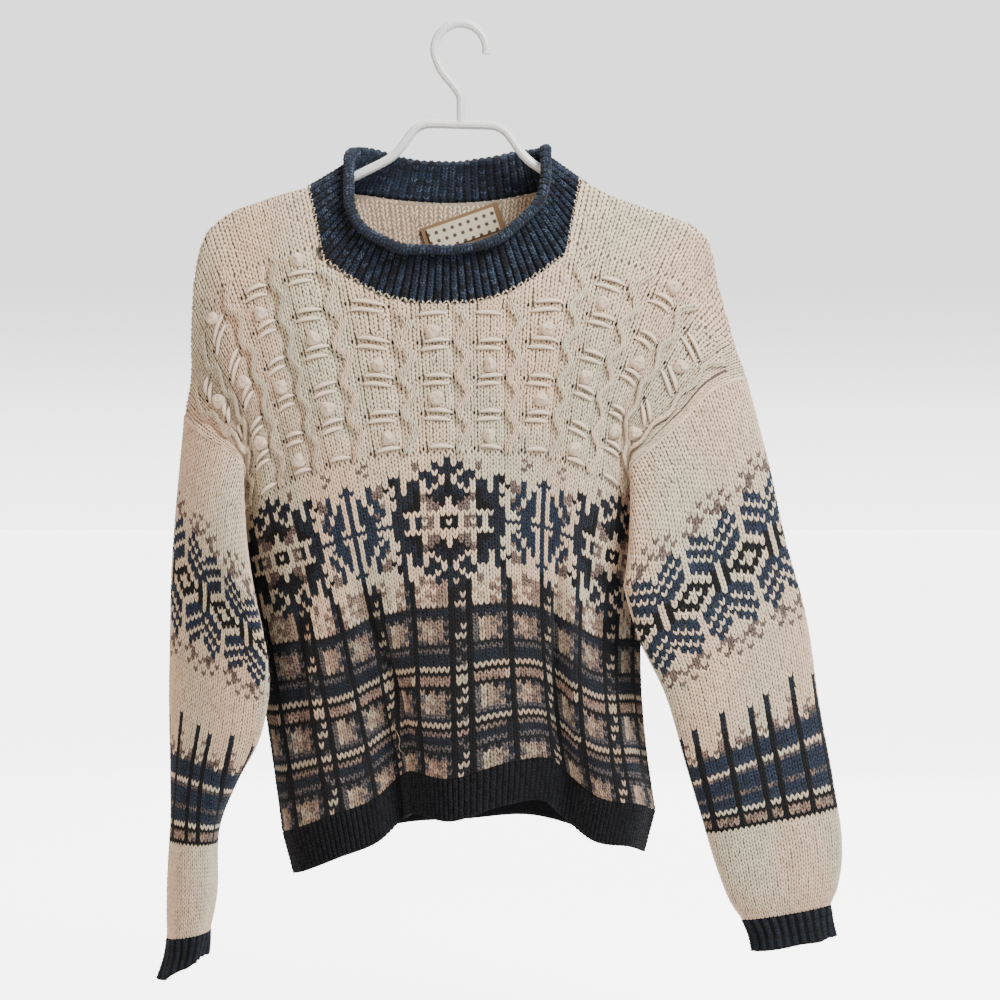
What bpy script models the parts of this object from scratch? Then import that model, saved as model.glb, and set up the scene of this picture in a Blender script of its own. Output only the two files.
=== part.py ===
import math

import bmesh
import bpy
import numpy as np

# A hand-knitted sweater hanging on a tube hanger. Metres, Z up, the front towards -Y.
# The origin is the inside top of the hook, where a rail carries it.

WALL = 0.003          # thickness of the knitting
SEAM_GAP = 0.00034    # clear space between sewn pieces
ROW_PITCH = 0.0039    # height of a course
RIDGE = 0.0085        # radius of the shoulder over the hanger's arm
CHEST_ROW = 66        # the course at the underarm
NECK_ROW = 114        # where the front neck leaves its side wales
LEFT_EDGE, RIGHT_EDGE = -48, 48
NECK_LEFT, NECK_RIGHT = -13, 17
EDGE_REACH = 26       # stitches over which an armhole pulls the panel
LAST_ROW = 130

# Stitches where the panels are sampled, and shares of the way up them
COLUMNS = (-48, -44.5, -41, -37, -33, -29.5, -26, -22, -17.5, -13,
           -10.2, -7.2, -3.5, 1, 5.5, 9.8, 13.4,
           17, 20.5, 24, 27.5, 31, 34.5, 38, 41.5, 45, 48)
UNDERARM_LEVEL = CHEST_ROW / 122
NECK_LEVEL = NECK_ROW / LAST_ROW
LEVELS = (0, 0.1, 0.2, 0.3, 0.4, 0.48, UNDERARM_LEVEL, 0.6, 0.66, 0.72, 0.78, 0.83,
          NECK_LEVEL, 0.92, 0.96, 0.984, 0.9945, 1)

# Seam of the hem rib, front: stitch, x, y, z
HEM_FRONT = (
    (-48, -0.157, 0.002, -0.707),
    (-42, -0.146, -0.024, -0.702),
    (-33, -0.112, -0.041, -0.688),
    (-24, -0.074, -0.034, -0.674),
    (-18, -0.056, -0.018, -0.659),
    (-11, -0.044, -0.030, -0.651),
    (0, -0.006, -0.052, -0.655),
    (9, 0.043, -0.050, -0.641),
    (17, 0.080, -0.036, -0.640),
    (22, 0.096, -0.028, -0.655),
    (30, 0.121, -0.048, -0.672),
    (40, 0.156, -0.036, -0.679),
    (48, 0.172, 0.002, -0.688),
)
HEM_BACK = (
    (-48, -0.157, 0.002, -0.707),
    (-38, -0.130, 0.026, -0.690),
    (-19, -0.064, 0.034, -0.668),
    (0, 0.006, 0.029, -0.662),
    (19, 0.070, 0.035, -0.660),
    (38, 0.142, 0.027, -0.680),
    (48, 0.172, 0.002, -0.688),
)
# The chest course: stitch, x, y, z
CHEST_FRONT = (
    (-48, -0.203, 0.010, -0.445),
    (-40, -0.187, -0.005, -0.438),
    (-34, -0.166, -0.030, -0.428),
    (-24, -0.128, -0.047, -0.414),
    (-17, -0.101, -0.050, -0.405),
    (-8, -0.057, -0.052, -0.396),
    (0, -0.013, -0.054, -0.393),
    (8, 0.029, -0.053, -0.393),
    (17, 0.071, -0.051, -0.397),
    (24, 0.098, -0.048, -0.406),
    (34, 0.137, -0.022, -0.424),
    (40, 0.154, -0.001, -0.434),
    (48, 0.172, 0.010, -0.443),
)
CHEST_BACK = (
    (-48, -0.203, 0.010, -0.445),
    (-34, -0.166, 0.028, -0.425),
    (-17, -0.095, 0.034, -0.400),
    (0, -0.012, 0.032, -0.390),
    (17, 0.074, 0.034, -0.395),
    (34, 0.142, 0.029, -0.425),
    (48, 0.172, 0.010, -0.443),
)
# The shoulder seams: stitch, course, x, y, z
SHOULDER_LEFT = (
    (-48, 122, -0.2430, 0, -0.3420),
    (-44, 123, -0.2375, 0, -0.3120),
    (-37, 126, -0.2365, 0, -0.2620),
    (-32, 128, -0.2330, 0, -0.2130),
    (-29, 129, -0.2250, 0, -0.1830),
    (-26, 130, -0.2070, 0, -0.1650),
    (-21, 130, -0.1800, 0, -0.1535),
    (-16, 130, -0.1550, 0, -0.1450),
    (-13, 130, -0.1340, 0, -0.1395),
)
SHOULDER_RIGHT = (
    (17, 130, 0.106, 0, -0.133),
    (20, 130, 0.131, 0, -0.146),
    (24, 130, 0.158, 0, -0.156),
    (28, 130, 0.187, 0, -0.166),
    (31, 129, 0.208, 0, -0.176),
    (34, 128, 0.220, 0, -0.192),
    (37, 126, 0.226, 0, -0.222),
    (41, 124, 0.238, 0, -0.266),
    (48, 122, 0.252, 0, -0.308),
)
# The neck edge between its side wales, before the shoulder's roundness is added
NECK_FRONT = (
    (-10.2, 109.5, -0.098, -0.0240, -0.2210),
    (-7.2, 106.5, -0.072, -0.0290, -0.2365),
    (-3.5, 105, -0.042, -0.0325, -0.2445),
    (1, 104.5, -0.013, -0.0340, -0.2460),
    (5.5, 105, 0.015, -0.0330, -0.2440),
    (9.8, 106.5, 0.040, -0.0300, -0.2370),
    (13.4, 109.5, 0.064, -0.0250, -0.2230),
)
NECK_BACK = (
    (-10.2, 129.4, -0.109, 0.0090, -0.1420),
    (-7.2, 128.6, -0.084, 0.0145, -0.1450),
    (-3.5, 127.9, -0.051, 0.0180, -0.1490),
    (1, 127.5, -0.012, 0.0195, -0.1510),
    (5.5, 127.8, 0.026, 0.0185, -0.1490),
    (9.8, 128.5, 0.058, 0.0150, -0.1440),
    (13.4, 129.4, 0.084, 0.0090, -0.1380),
)
# The armhole edges from the underarm to the shoulder: course, x, y, z
ARMHOLES = {
    "front_left": (
        (66, -0.203, 0.010, -0.445),
        (74, -0.200, 0.000, -0.431),
        (82, -0.194, -0.014, -0.413),
        (91, -0.188, -0.028, -0.391),
        (98, -0.193, -0.031, -0.379),
        (105, -0.207, -0.028, -0.369),
        (113, -0.228, -0.017, -0.355),
        (122, -0.243, 0.000, -0.342),
    ),
    "front_right": (
        (66, 0.172, 0.010, -0.443),
        (74, 0.168, 0.001, -0.428),
        (81, 0.155, -0.016, -0.410),
        (88, 0.148, -0.032, -0.388),
        (95, 0.166, -0.036, -0.370),
        (103, 0.194, -0.033, -0.345),
        (110, 0.216, -0.026, -0.322),
        (117, 0.238, -0.014, -0.311),
        (122, 0.252, 0.000, -0.308),
    ),
    "back_left": (
        (66, -0.203, 0.010, -0.445),
        (85, -0.213, 0.024, -0.408),
        (103, -0.229, 0.022, -0.372),
        (113, -0.238, 0.014, -0.354),
        (122, -0.243, 0.000, -0.342),
    ),
    "back_right": (
        (66, 0.172, 0.010, -0.443),
        (85, 0.192, 0.024, -0.404),
        (103, 0.226, 0.023, -0.352),
        (113, 0.243, 0.014, -0.325),
        (122, 0.252, 0.000, -0.308),
    ),
}

# Sleeve sections below the armhole: outer edge x, y, z; inner edge x, y, z;
# depth in front of and behind the line between them; turn of the underarm, degrees
SLEEVE_LEFT = (
    (-0.2495, -0.004, -0.422, -0.175, -0.053, -0.502, 0.023, 0.017, 60),
    (-0.253, -0.006, -0.478, -0.166, -0.053, -0.545, 0.024, 0.019, 48),
    (-0.254, -0.008, -0.530, -0.164, -0.051, -0.580, 0.024, 0.021, 30),
    (-0.255, -0.006, -0.590, -0.173, -0.046, -0.622, 0.026, 0.024, 26),
    (-0.254, -0.004, -0.645, -0.194, -0.032, -0.661, 0.031, 0.028, 22),
    (-0.253, -0.008, -0.700, -0.211, -0.018, -0.704, 0.034, 0.032, 20),
    (-0.255, -0.010, -0.758, -0.213, -0.014, -0.757, 0.034, 0.032, 20),
    (-0.256, -0.010, -0.797, -0.219, -0.014, -0.791, 0.029, 0.027, 20),
)
SLEEVE_RIGHT = (
    (0.271, -0.004, -0.384, 0.141, -0.052, -0.490, 0.020, 0.018, 42),
    (0.285, -0.005, -0.450, 0.155, -0.048, -0.536, 0.022, 0.019, 36),
    (0.303, -0.008, -0.518, 0.178, -0.042, -0.584, 0.022, 0.018, 30),
    (0.314, -0.010, -0.594, 0.196, -0.033, -0.644, 0.021, 0.018, 26),
    (0.327, -0.010, -0.665, 0.210, -0.026, -0.690, 0.020, 0.018, 22),
    (0.334, -0.010, -0.715, 0.222, -0.022, -0.730, 0.021, 0.018, 20),
    (0.331, -0.010, -0.750, 0.234, -0.020, -0.762, 0.021, 0.018, 20),
    (0.324, -0.010, -0.769, 0.246, -0.018, -0.781, 0.017, 0.015, 20),
)
CUFF_LEFT = (
    (-0.258, -0.011, -0.815, -0.220, -0.014, -0.801, 0.026, 0.024, 20),
    (-0.263, -0.012, -0.834, -0.222, -0.014, -0.812, 0.028, 0.026, 20),
)
CUFF_RIGHT = (
    (0.325, -0.011, -0.783, 0.253, -0.018, -0.795, 0.014, 0.013, 20),
    (0.327, -0.012, -0.797, 0.257, -0.018, -0.809, 0.015, 0.014, 20),
)
SLEEVE_RINGS = 14
RING_POWER = 0.86     # below 1 squares a section's ends
CUFF_FOLDS = 3
CUFF_FOLD = 0.0022

HEM_DEPTH = 0.037
HEM_PULL = 0.06       # the rib draws in by this share
HEM_ROWS = 2

# Crest of the collar's roll. Quarter: 0 front middle, 1 right shoulder, 2 back, 3 left
COLLAR_CREST = (
    (0.00, -0.011, -0.0480, -0.1960),
    (0.18, 0.014, -0.0475, -0.1935),
    (0.34, 0.036, -0.0440, -0.1800),
    (0.50, 0.054, -0.0380, -0.1660),
    (0.66, 0.066, -0.0290, -0.1500),
    (0.84, 0.070, -0.0160, -0.1270),
    (1.00, 0.069, -0.0010, -0.1070),
    (1.18, 0.068, 0.0130, -0.1050),
    (1.40, 0.054, 0.0240, -0.1040),
    (1.70, 0.022, 0.0290, -0.1090),
    (2.00, -0.010, 0.0300, -0.1130),
    (2.35, -0.047, 0.0290, -0.1100),
    (2.65, -0.074, 0.0230, -0.1040),
    (2.85, -0.088, 0.0120, -0.1060),
    (3.00, -0.092, -0.0010, -0.1150),
    (3.16, -0.092, -0.0160, -0.1360),
    (3.36, -0.089, -0.0300, -0.1640),
    (3.52, -0.076, -0.0380, -0.1810),
    (3.68, -0.056, -0.0440, -0.1890),
    (3.84, -0.034, -0.0475, -0.1950),
    (4.00, -0.011, -0.0480, -0.1960),
)
ROLL_RADIUS = 0.0028  # inside the roll, on the right side of the cloth
ROLL_TURN = 225       # degrees
BAND_ROWS = 3
ROLL_ROWS = 5

# The label: the middle, half width and half height on the back panel, in stitches and courses
LABEL_MIDDLE = (2.75, 121.3)
LABEL_HALF = (0.0315, 0.0105)
LABEL_TILT = 19
BACKING_HALF = (0.0365, 0.0135)
LABEL_LIFT = 0.0010
LABEL_THICK = 0.001

TUBE = 0.004
HOOK_RADIUS = 0.0229
STEM = ((-0.017, -0.0380), (-0.005, -0.0520), (0.0005, -0.0600), (0.0005, -0.0840))
ARMS = (
    (-0.2050, -0.1738), (-0.1800, -0.1626), (-0.1550, -0.1548), (-0.1340, -0.1496),
    (-0.0900, -0.1293), (-0.0580, -0.1134), (-0.0370, -0.0840), (0.0370, -0.0860),
    (0.0580, -0.1166), (0.0900, -0.1354), (0.1060, -0.1451), (0.1310, -0.1565),
    (0.1580, -0.1655), (0.1870, -0.1752), (0.2050, -0.1845),
)


def through(keys, values, at):
    """A smooth curve through the values, quietly flat beyond its ends."""
    keys = np.asarray(keys, float)
    values = np.asarray(values, float)
    gaps = np.diff(keys)
    slopes = np.diff(values, axis=0) / gaps[:, None]
    tangents = np.empty_like(values)
    tangents[0] = slopes[0]
    tangents[-1] = slopes[-1]
    weight = (gaps[1:] + gaps[:-1])[:, None]
    tangents[1:-1] = (slopes[:-1] * gaps[1:, None] + slopes[1:] * gaps[:-1, None]) / weight
    at = np.clip(np.asarray(at, float), keys[0], keys[-1])
    index = np.clip(np.searchsorted(keys, at, side="right") - 1, 0, len(gaps) - 1)
    gap = gaps[index][..., None]
    share = (at - keys[index])[..., None] / gap
    rise = share * share * (3 - 2 * share)
    lead = share * (1 - share) ** 2
    lag = share * share * (share - 1)
    return (values[index] * (1 - rise) + values[index + 1] * rise
            + gap * (lead * tangents[index] + lag * tangents[index + 1]))


def table_curve(table, at):
    table = np.asarray(table, float)
    return through(table[:, 0], table[:, 1:], at)


def quadratic(hem, chest, top, last, row):
    """The course at row of a wale through its hem, its chest and its last course."""
    row = row[..., None]
    last = last[..., None]
    return (hem * (row - CHEST_ROW) * (row - last) / (CHEST_ROW * last)
            + chest * row * (last - row) / (CHEST_ROW * (last - CHEST_ROW))
            + top * row * (row - CHEST_ROW) / (last * (last - CHEST_ROW)))


def side_point(front, stitch, row):
    """The front's neck leaves its side wale here."""
    shoulder = SHOULDER_LEFT if stitch < 0 else SHOULDER_RIGHT
    spot = np.array([float(stitch)])
    edge = table_curve(shoulder, spot)
    hem = table_curve(HEM_FRONT if front else HEM_BACK, spot)
    chest = table_curve(CHEST_FRONT if front else CHEST_BACK, spot)
    point = quadratic(hem, chest, edge[:, 1:], edge[:, 0], np.array([float(row)]))[0]
    return (stitch, row, *point)


def top_edge(front, stitch):
    """The last course of each wale: its number, x, y, z."""
    first_row = NECK_ROW if front else LAST_ROW
    neck = (side_point(front, NECK_LEFT, first_row), *(NECK_FRONT if front else NECK_BACK),
            side_point(front, NECK_RIGHT, first_row))
    left = table_curve(SHOULDER_LEFT, stitch)
    right = table_curve(SHOULDER_RIGHT, stitch)
    middle = table_curve(neck, stitch)
    stitch = stitch[..., None]
    return np.where(stitch <= NECK_LEFT, left, np.where(stitch >= NECK_RIGHT, right, middle))


def ruled(front, stitch, row):
    edge = top_edge(front, stitch)
    hem = table_curve(HEM_FRONT if front else HEM_BACK, stitch)
    chest = table_curve(CHEST_FRONT if front else CHEST_BACK, stitch)
    return quadratic(hem, chest, edge[..., 1:], edge[..., 0], row)


def panel(front, stitch, level):
    """The outside of a panel. The level runs from the hem seam, 0, to the last course, 1."""
    stitch, level = np.broadcast_arrays(np.asarray(stitch, float), np.asarray(level, float))
    last = top_edge(front, stitch)[..., 0]
    row = level * last
    point = ruled(front, stitch, row)
    within = np.minimum(stitch - NECK_LEFT, NECK_RIGHT - stitch)
    within = (within > 0).astype(float) if front else np.clip(within / 3, 0, 1)
    drop = np.clip((last - row) * ROW_PITCH / RIDGE, 0, 1)
    roundness = np.sqrt(1 - (1 - drop) ** 2) * (1 - within) + within
    open_end = np.clip(np.minimum(stitch - LEFT_EDGE, RIGHT_EDGE - stitch) / 20 + 0.6, 0, 1)
    fade = np.clip((row - 80) / 30, 0, 1)
    bulge = RIDGE * roundness * open_end * fade * fade * (3 - 2 * fade)
    point[..., 1] += -bulge if front else bulge
    for side, edge in (("left", LEFT_EDGE), ("right", RIGHT_EDGE)):
        table = ARMHOLES[("front_" if front else "back_") + side]
        near = np.clip(1 - np.abs(stitch - edge) / EDGE_REACH, 0, 1) ** 1.5
        at = np.clip(row, CHEST_ROW, table[-1][0])
        shift = table_curve(table, at) - ruled(front, np.full_like(stitch, edge), at)
        point += np.where((row > CHEST_ROW)[..., None], shift * near[..., None], 0)
    return point


def panel_blocks(front):
    """Grids of points, courses by wales. The front's middle grid stops at the neck."""
    columns = np.array(COLUMNS, float)
    levels = np.array(LEVELS)[:, None]
    if not front:
        return [panel(False, columns[None, :], levels)]
    first = COLUMNS.index(NECK_LEFT)
    last = COLUMNS.index(NECK_RIGHT)
    low = levels[:LEVELS.index(NECK_LEVEL) + 1]
    inside = columns[None, first + 1:last]
    middle = panel(True, inside, low / NECK_LEVEL)
    left = panel(True, columns[None, :first + 1], levels)
    right = panel(True, columns[None, last:], levels)
    middle = np.concatenate([left[:len(low), -1:], middle, right[:len(low), :1]], axis=1)
    return [left, middle, right]


def sleeve_section(row, share):
    """Points round one section. Share 0 is the shoulder, 0.5 the underarm, 1 the shoulder."""
    outer, inner = row[0:3], row[3:6]
    middle = (outer + inner) / 2
    across = (outer - inner) / 2
    turn = math.radians(row[8])
    angle = np.where(share < 0.5, share * 2 * (math.pi + turn),
                     math.pi + turn + (share - 0.5) * 2 * (math.pi - turn))
    cosine, sine = np.cos(angle), np.sin(angle)
    along = np.sign(cosine) * np.abs(cosine) ** RING_POWER
    depth = np.where(sine > 0, row[6], row[7])
    out = np.sign(sine) * np.abs(sine) ** RING_POWER * depth
    points = middle + along[:, None] * across
    points[:, 1] -= out
    return points, angle


def sleeve_rings(front_blocks, back_block, table, cuff, left):
    """Rings from the armhole to the cuff's edge, each closed on itself."""
    edge = 0 if left else -1
    first = LEVELS.index(UNDERARM_LEVEL)
    front_edge = front_blocks[0 if left else -1][first:, edge][::-1]
    back_edge = back_block[first:, edge]
    loop = np.concatenate([front_edge, back_edge[1:]])
    half = len(front_edge) - 1
    steps = np.linalg.norm(np.diff(loop, axis=0), axis=1)
    way = np.concatenate([[0], np.cumsum(steps[:half])])
    way_back = np.concatenate([[0], np.cumsum(steps[half:])])
    seam_share = np.concatenate([way / way[-1] / 2, 0.5 + way_back[1:] / way_back[-1] / 2])
    even = np.linspace(0, 1, len(loop))
    table = np.array(table, float)
    keys = np.arange(1, len(table) + 1)
    rings = [loop]
    for index in range(1, SLEEVE_RINGS + 1):
        key = len(table) * index / SLEEVE_RINGS
        blend = min(1, index / 5)
        share = seam_share * (1 - blend) + even * blend
        if key < 1:
            row = table[0]
            points, _ = sleeve_section(row, share)
            points = loop * (1 - key) + points * key
        else:
            row = through(keys, table, np.array([key]))[0]
            points, _ = sleeve_section(row, share)
        points[-1] = points[0]
        rings.append(points)
    cuff_rings = [rings[-1]]
    for number, row in enumerate(np.array(cuff, float), 1):
        points, angle = sleeve_section(row, even)
        middle = points[:-1].mean(axis=0)
        out = points - middle
        out[:, 2] = 0
        out /= np.maximum(np.linalg.norm(out, axis=1), 1e-6)[:, None]
        fold = CUFF_FOLD * number / len(cuff) * np.cos(2 * CUFF_FOLDS * angle)
        points = points + out * fold[:, None]
        points[-1] = points[0]
        cuff_rings.append(points)
    return np.array(rings), np.array(cuff_rings)


def hem_block(seam):
    """The rib below a panel's hem seam, from its lower edge up."""
    rows = []
    for index in range(HEM_ROWS, -1, -1):
        share = index / HEM_ROWS
        row = seam.copy()
        row[:, 0] -= HEM_PULL * share * (row[:, 0] - 0.008)
        row[:, 1] *= 1 - 0.5 * HEM_PULL * share
        row[:, 2] -= HEM_DEPTH * share
        rows.append(row)
    return np.array(rows)


def neck_loop(front_blocks, back_block):
    """The neck edge once round: down the front's left wale, across, up, and along the back."""
    low = LEVELS.index(NECK_LEVEL)
    left, middle, right = front_blocks
    first = COLUMNS.index(NECK_LEFT)
    last = COLUMNS.index(NECK_RIGHT)
    down = left[low:, -1][::-1]
    across = middle[-1]
    rise = right[low:, 0]
    back = back_block[-1, first:last + 1][::-1]
    loop = np.concatenate([down, across[1:], rise[1:], back[1:]])
    front_count = len(down) + len(across) + len(rise) - 3
    return loop, front_count


def quarters(loop, front_count):
    """Each neck point's place: 0 front middle, 1 right shoulder, 2 back middle, 3 left."""
    steps = np.concatenate([[0], np.cumsum(np.linalg.norm(np.diff(loop, axis=0), axis=1))])
    front = steps[front_count]
    place = np.where(steps <= front, 3 + 2 * steps / front,
                     1 + 2 * (steps - front) / (steps[-1] - front))
    place[:front_count + 1] = 3 + 2 * steps[:front_count + 1] / front
    return place


def collar_block(loop, place):
    """The band from the neck edge and the roll at its top, station by station."""
    crest = table_curve(COLLAR_CREST, np.where(place > 4, place - 4, place))
    rise = crest - loop
    length = np.linalg.norm(rise, axis=1)[:, None]
    rise = rise / length
    ring = crest[:-1]
    tangent = np.roll(ring, -1, axis=0) - np.roll(ring, 1, axis=0)
    tangent = np.concatenate([tangent, tangent[:1]])
    out = np.cross(tangent, rise)
    out = out / np.linalg.norm(out, axis=1)[:, None]
    for _ in range(3):
        ring = out[:-1]
        ring = ring + 0.5 * (np.roll(ring, 1, axis=0) + np.roll(ring, -1, axis=0))
        out = np.concatenate([ring, ring[:1]])
        out = out - rise * (out * rise).sum(axis=1)[:, None]
        out = out / np.linalg.norm(out, axis=1)[:, None]
    top = crest - rise * (ROLL_RADIUS + WALL)
    rows = []
    for index in range(BAND_ROWS + 1):
        share = index / BAND_ROWS
        rows.append(loop * (1 - share) + top * share)
    for index in range(1, ROLL_ROWS + 1):
        angle = math.radians(ROLL_TURN) * index / ROLL_ROWS
        rows.append(top + ROLL_RADIUS * (out * (1 - math.cos(angle)) + rise * math.sin(angle)))
    block = np.array(rows)
    block[:, -1] = block[:, 0]
    return block


def key_of(point):
    return (round(point[0] * 1e6), round(point[1] * 1e6), round(point[2] * 1e6))


def block_triangles(ids, flip):
    """Two triangles to a cell, all cut the same way."""
    faces = []
    for i in range(ids.shape[0] - 1):
        for j in range(ids.shape[1] - 1):
            a, b, c, d = ids[i, j], ids[i, j + 1], ids[i + 1, j + 1], ids[i + 1, j]
            for face in ((a, b, c), (a, c, d)):
                if len(set(face)) == 3:
                    faces.append(face[::-1] if flip else face)
    return faces


def sew(pieces):
    """Welds the outer sheets into one garment and measures the wall's direction at each point."""
    numbers = {}
    points = []
    sewn = {}
    for name, (blocks, flip) in pieces.items():
        faces = []
        for block in blocks:
            ids = np.empty(block.shape[:2], int)
            for place in np.ndindex(ids.shape):
                key = key_of(block[place])
                if key not in numbers:
                    numbers[key] = len(points)
                    points.append(block[place])
                ids[place] = numbers[key]
            faces += block_triangles(ids, flip)
        sewn[name] = faces
    points = np.array(points)
    direction = np.zeros_like(points)
    for rows in sewn.values():
        own = np.zeros_like(points)
        corners = points[np.array(rows)]
        normal = np.cross(corners[:, 1] - corners[:, 0], corners[:, 2] - corners[:, 0])
        for corner in range(3):
            np.add.at(own, np.array(rows)[:, corner], normal)
        length = np.linalg.norm(own, axis=1)[:, None]
        direction += own / np.where(length > 0, length, 1)
    direction /= np.linalg.norm(direction, axis=1)[:, None]
    faces = np.array([face for rows in sewn.values() for face in rows])
    corners = points[faces]
    normal = np.cross(corners[:, 1] - corners[:, 0], corners[:, 2] - corners[:, 0])
    size = np.linalg.norm(normal, axis=1)
    unit = normal / size[:, None]
    touching = {}
    for number, face in enumerate(faces):
        for corner in face:
            touching.setdefault(corner, []).append(number)
    # At a sharp corner the wall turns towards the face it would otherwise miss
    for corner, numbers_here in touching.items():
        around = unit[numbers_here]
        if (around @ direction[corner]).min() > 0.5:
            continue
        for _ in range(80):
            direction[corner] += 0.08 * around[np.argmin(around @ direction[corner])]
            direction[corner] /= np.linalg.norm(direction[corner])
    agreement = np.zeros(len(points))
    weight = np.zeros(len(points))
    for corner in range(3):
        dot = (unit * direction[faces[:, corner]]).sum(axis=1)
        np.add.at(agreement, faces[:, corner], dot * size)
        np.add.at(weight, faces[:, corner], size)
    reach = 1 / np.clip(agreement / weight, 0.62, 1)
    return points, direction * reach[:, None], sewn


def boundary(faces):
    edges = {}
    for a, b, c in faces:
        for edge in ((a, b), (b, c), (c, a)):
            edges[edge] = True
    return [edge for edge in edges if (edge[1], edge[0]) not in edges]


def cut_apart(points, direction, sewn):
    """Each piece gets an inner sheet and a rim, and stands back from its seams."""
    owners = {}
    for name, faces in sewn.items():
        for edge in boundary(faces):
            owners.setdefault(frozenset(edge), []).append(name)
    walls = {}
    for name, faces in sewn.items():
        used = sorted({corner for face in faces for corner in face})
        local = {corner: index for index, corner in enumerate(used)}
        outer = points[used].copy()
        inner = outer - WALL * direction[used]
        rim = boundary(faces)
        pulls = {}
        for a, b in rim:
            if len(owners[frozenset((a, b))]) < 2:
                continue
            side = np.cross(direction[a] + direction[b], points[b] - points[a])
            side /= np.linalg.norm(side)
            for corner in (a, b):
                pulls.setdefault(corner, []).append(side)
        for corner, sides in pulls.items():
            total = np.sum(sides, axis=0)
            if len(sides) == 2:
                move = total / max(1 + float(np.dot(sides[0], sides[1])), 0.25)
            else:
                move = total / len(sides)
            outer[local[corner]] += move * SEAM_GAP / 2
            inner[local[corner]] += move * SEAM_GAP / 2
        count = len(used)
        shell = [tuple(local[corner] for corner in face) for face in faces]
        shell += [tuple(local[corner] + count for corner in face[::-1]) for face in faces]
        for first, second in rim:
            a, b = local[first], local[second]
            if first < second:
                shell += [(b, a, a + count), (b, a + count, b + count)]
            else:
                shell += [(b, a, b + count), (a, a + count, b + count)]
        walls[name] = (np.concatenate([outer, inner]), shell)
    return walls


def label_sheet(half, lift, thick):
    """A plate lying on the inside of the back, made from the back's own points."""
    across, up = 9, 4
    tilt = math.radians(LABEL_TILT)
    middle_x, _, middle_z = panel(False, LABEL_MIDDLE[0], LABEL_MIDDLE[1] / 127.6)
    outer = []
    inner = []
    for v in np.linspace(-half[1], half[1], up):
        for u in np.linspace(-half[0], half[0], across):
            x = middle_x + u * math.cos(tilt) - v * math.sin(tilt)
            z = middle_z + u * math.sin(tilt) + v * math.cos(tilt)
            stitch, level = LABEL_MIDDLE[0], LABEL_MIDDLE[1] / 127.6
            for _ in range(12):
                at = panel(False, stitch, level)
                stitch += (x - at[0]) / 0.0075
                level += (z - at[2]) / 0.5
            here = panel(False, stitch, level)
            right = panel(False, stitch + 0.5, level) - here
            down = panel(False, stitch, level - 0.01) - here
            normal = np.cross(down, right)
            normal = normal / np.linalg.norm(normal)
            if normal[1] > 0:
                normal = -normal
            outer.append(here + normal * (WALL + lift + thick))
            inner.append(here + normal * (WALL + lift))
    ids = np.arange(across * up).reshape(up, across)
    faces = block_triangles(ids, False)
    count = across * up
    shell = list(faces) + [tuple(corner + count for corner in face[::-1]) for face in faces]
    for a, b in boundary(faces):
        shell += [(b, a, a + count), (b, a + count, b + count)]
    return np.array(outer + inner), shell


def rounded(points, radius, steps):
    """A path with its corners turned on short arcs."""
    points = [np.array(point, float) for point in points]
    path = [points[0]]
    for before, corner, after in zip(points, points[1:], points[2:]):
        come = before - corner
        leave = after - corner
        reach = min(radius, 0.45 * np.linalg.norm(come), 0.45 * np.linalg.norm(leave))
        start = corner + come / np.linalg.norm(come) * reach
        end = corner + leave / np.linalg.norm(leave) * reach
        for index in range(steps + 1):
            share = index / steps
            path.append(start * (1 - share) ** 2 + corner * 2 * share * (1 - share)
                        + end * share ** 2)
    path.append(points[-1])
    return path


def make_material(name, colour, rough):
    material = bpy.data.materials.new(name)
    material.use_nodes = True
    shader = material.node_tree.nodes["Principled BSDF"]
    shader.inputs["Base Color"].default_value = (*colour, 1)
    shader.inputs["Roughness"].default_value = rough
    return material


def mesh_object(name, vertices, faces, material, collection):
    mesh = bpy.data.meshes.new(name)
    mesh.from_pydata([tuple(map(float, vertex)) for vertex in vertices], [],
                     [tuple(map(int, face)) for face in faces])
    mesh.update()
    mesh.materials.append(material)
    thing = bpy.data.objects.new(name, mesh)
    collection.objects.link(thing)
    return thing


def tube_object(name, path, material, collection):
    """A solid rod along a path in the plane of the hanger."""
    curve = bpy.data.curves.new(name + "_path", "CURVE")
    curve.dimensions = "3D"
    curve.bevel_depth = TUBE
    curve.bevel_resolution = 3
    curve.use_fill_caps = True
    spline = curve.splines.new("POLY")
    spline.points.add(len(path) - 1)
    for point, (x, z) in zip(spline.points, path):
        point.co = (x, 0, z, 1)
    holder = bpy.data.objects.new(name + "_path", curve)
    collection.objects.link(holder)
    bpy.context.view_layer.update()
    evaluated = holder.evaluated_get(bpy.context.evaluated_depsgraph_get())
    mesh = bpy.data.meshes.new_from_object(evaluated)
    mesh.name = name
    bpy.data.objects.remove(holder, do_unlink=True)
    bpy.data.curves.remove(curve)
    work = bmesh.new()
    work.from_mesh(mesh)
    bmesh.ops.remove_doubles(work, verts=work.verts, dist=0.00001)
    bmesh.ops.recalc_face_normals(work, faces=work.faces)
    work.to_mesh(mesh)
    work.free()
    mesh.materials.clear()
    mesh.materials.append(material)
    thing = bpy.data.objects.new(name, mesh)
    collection.objects.link(thing)
    return thing


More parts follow.
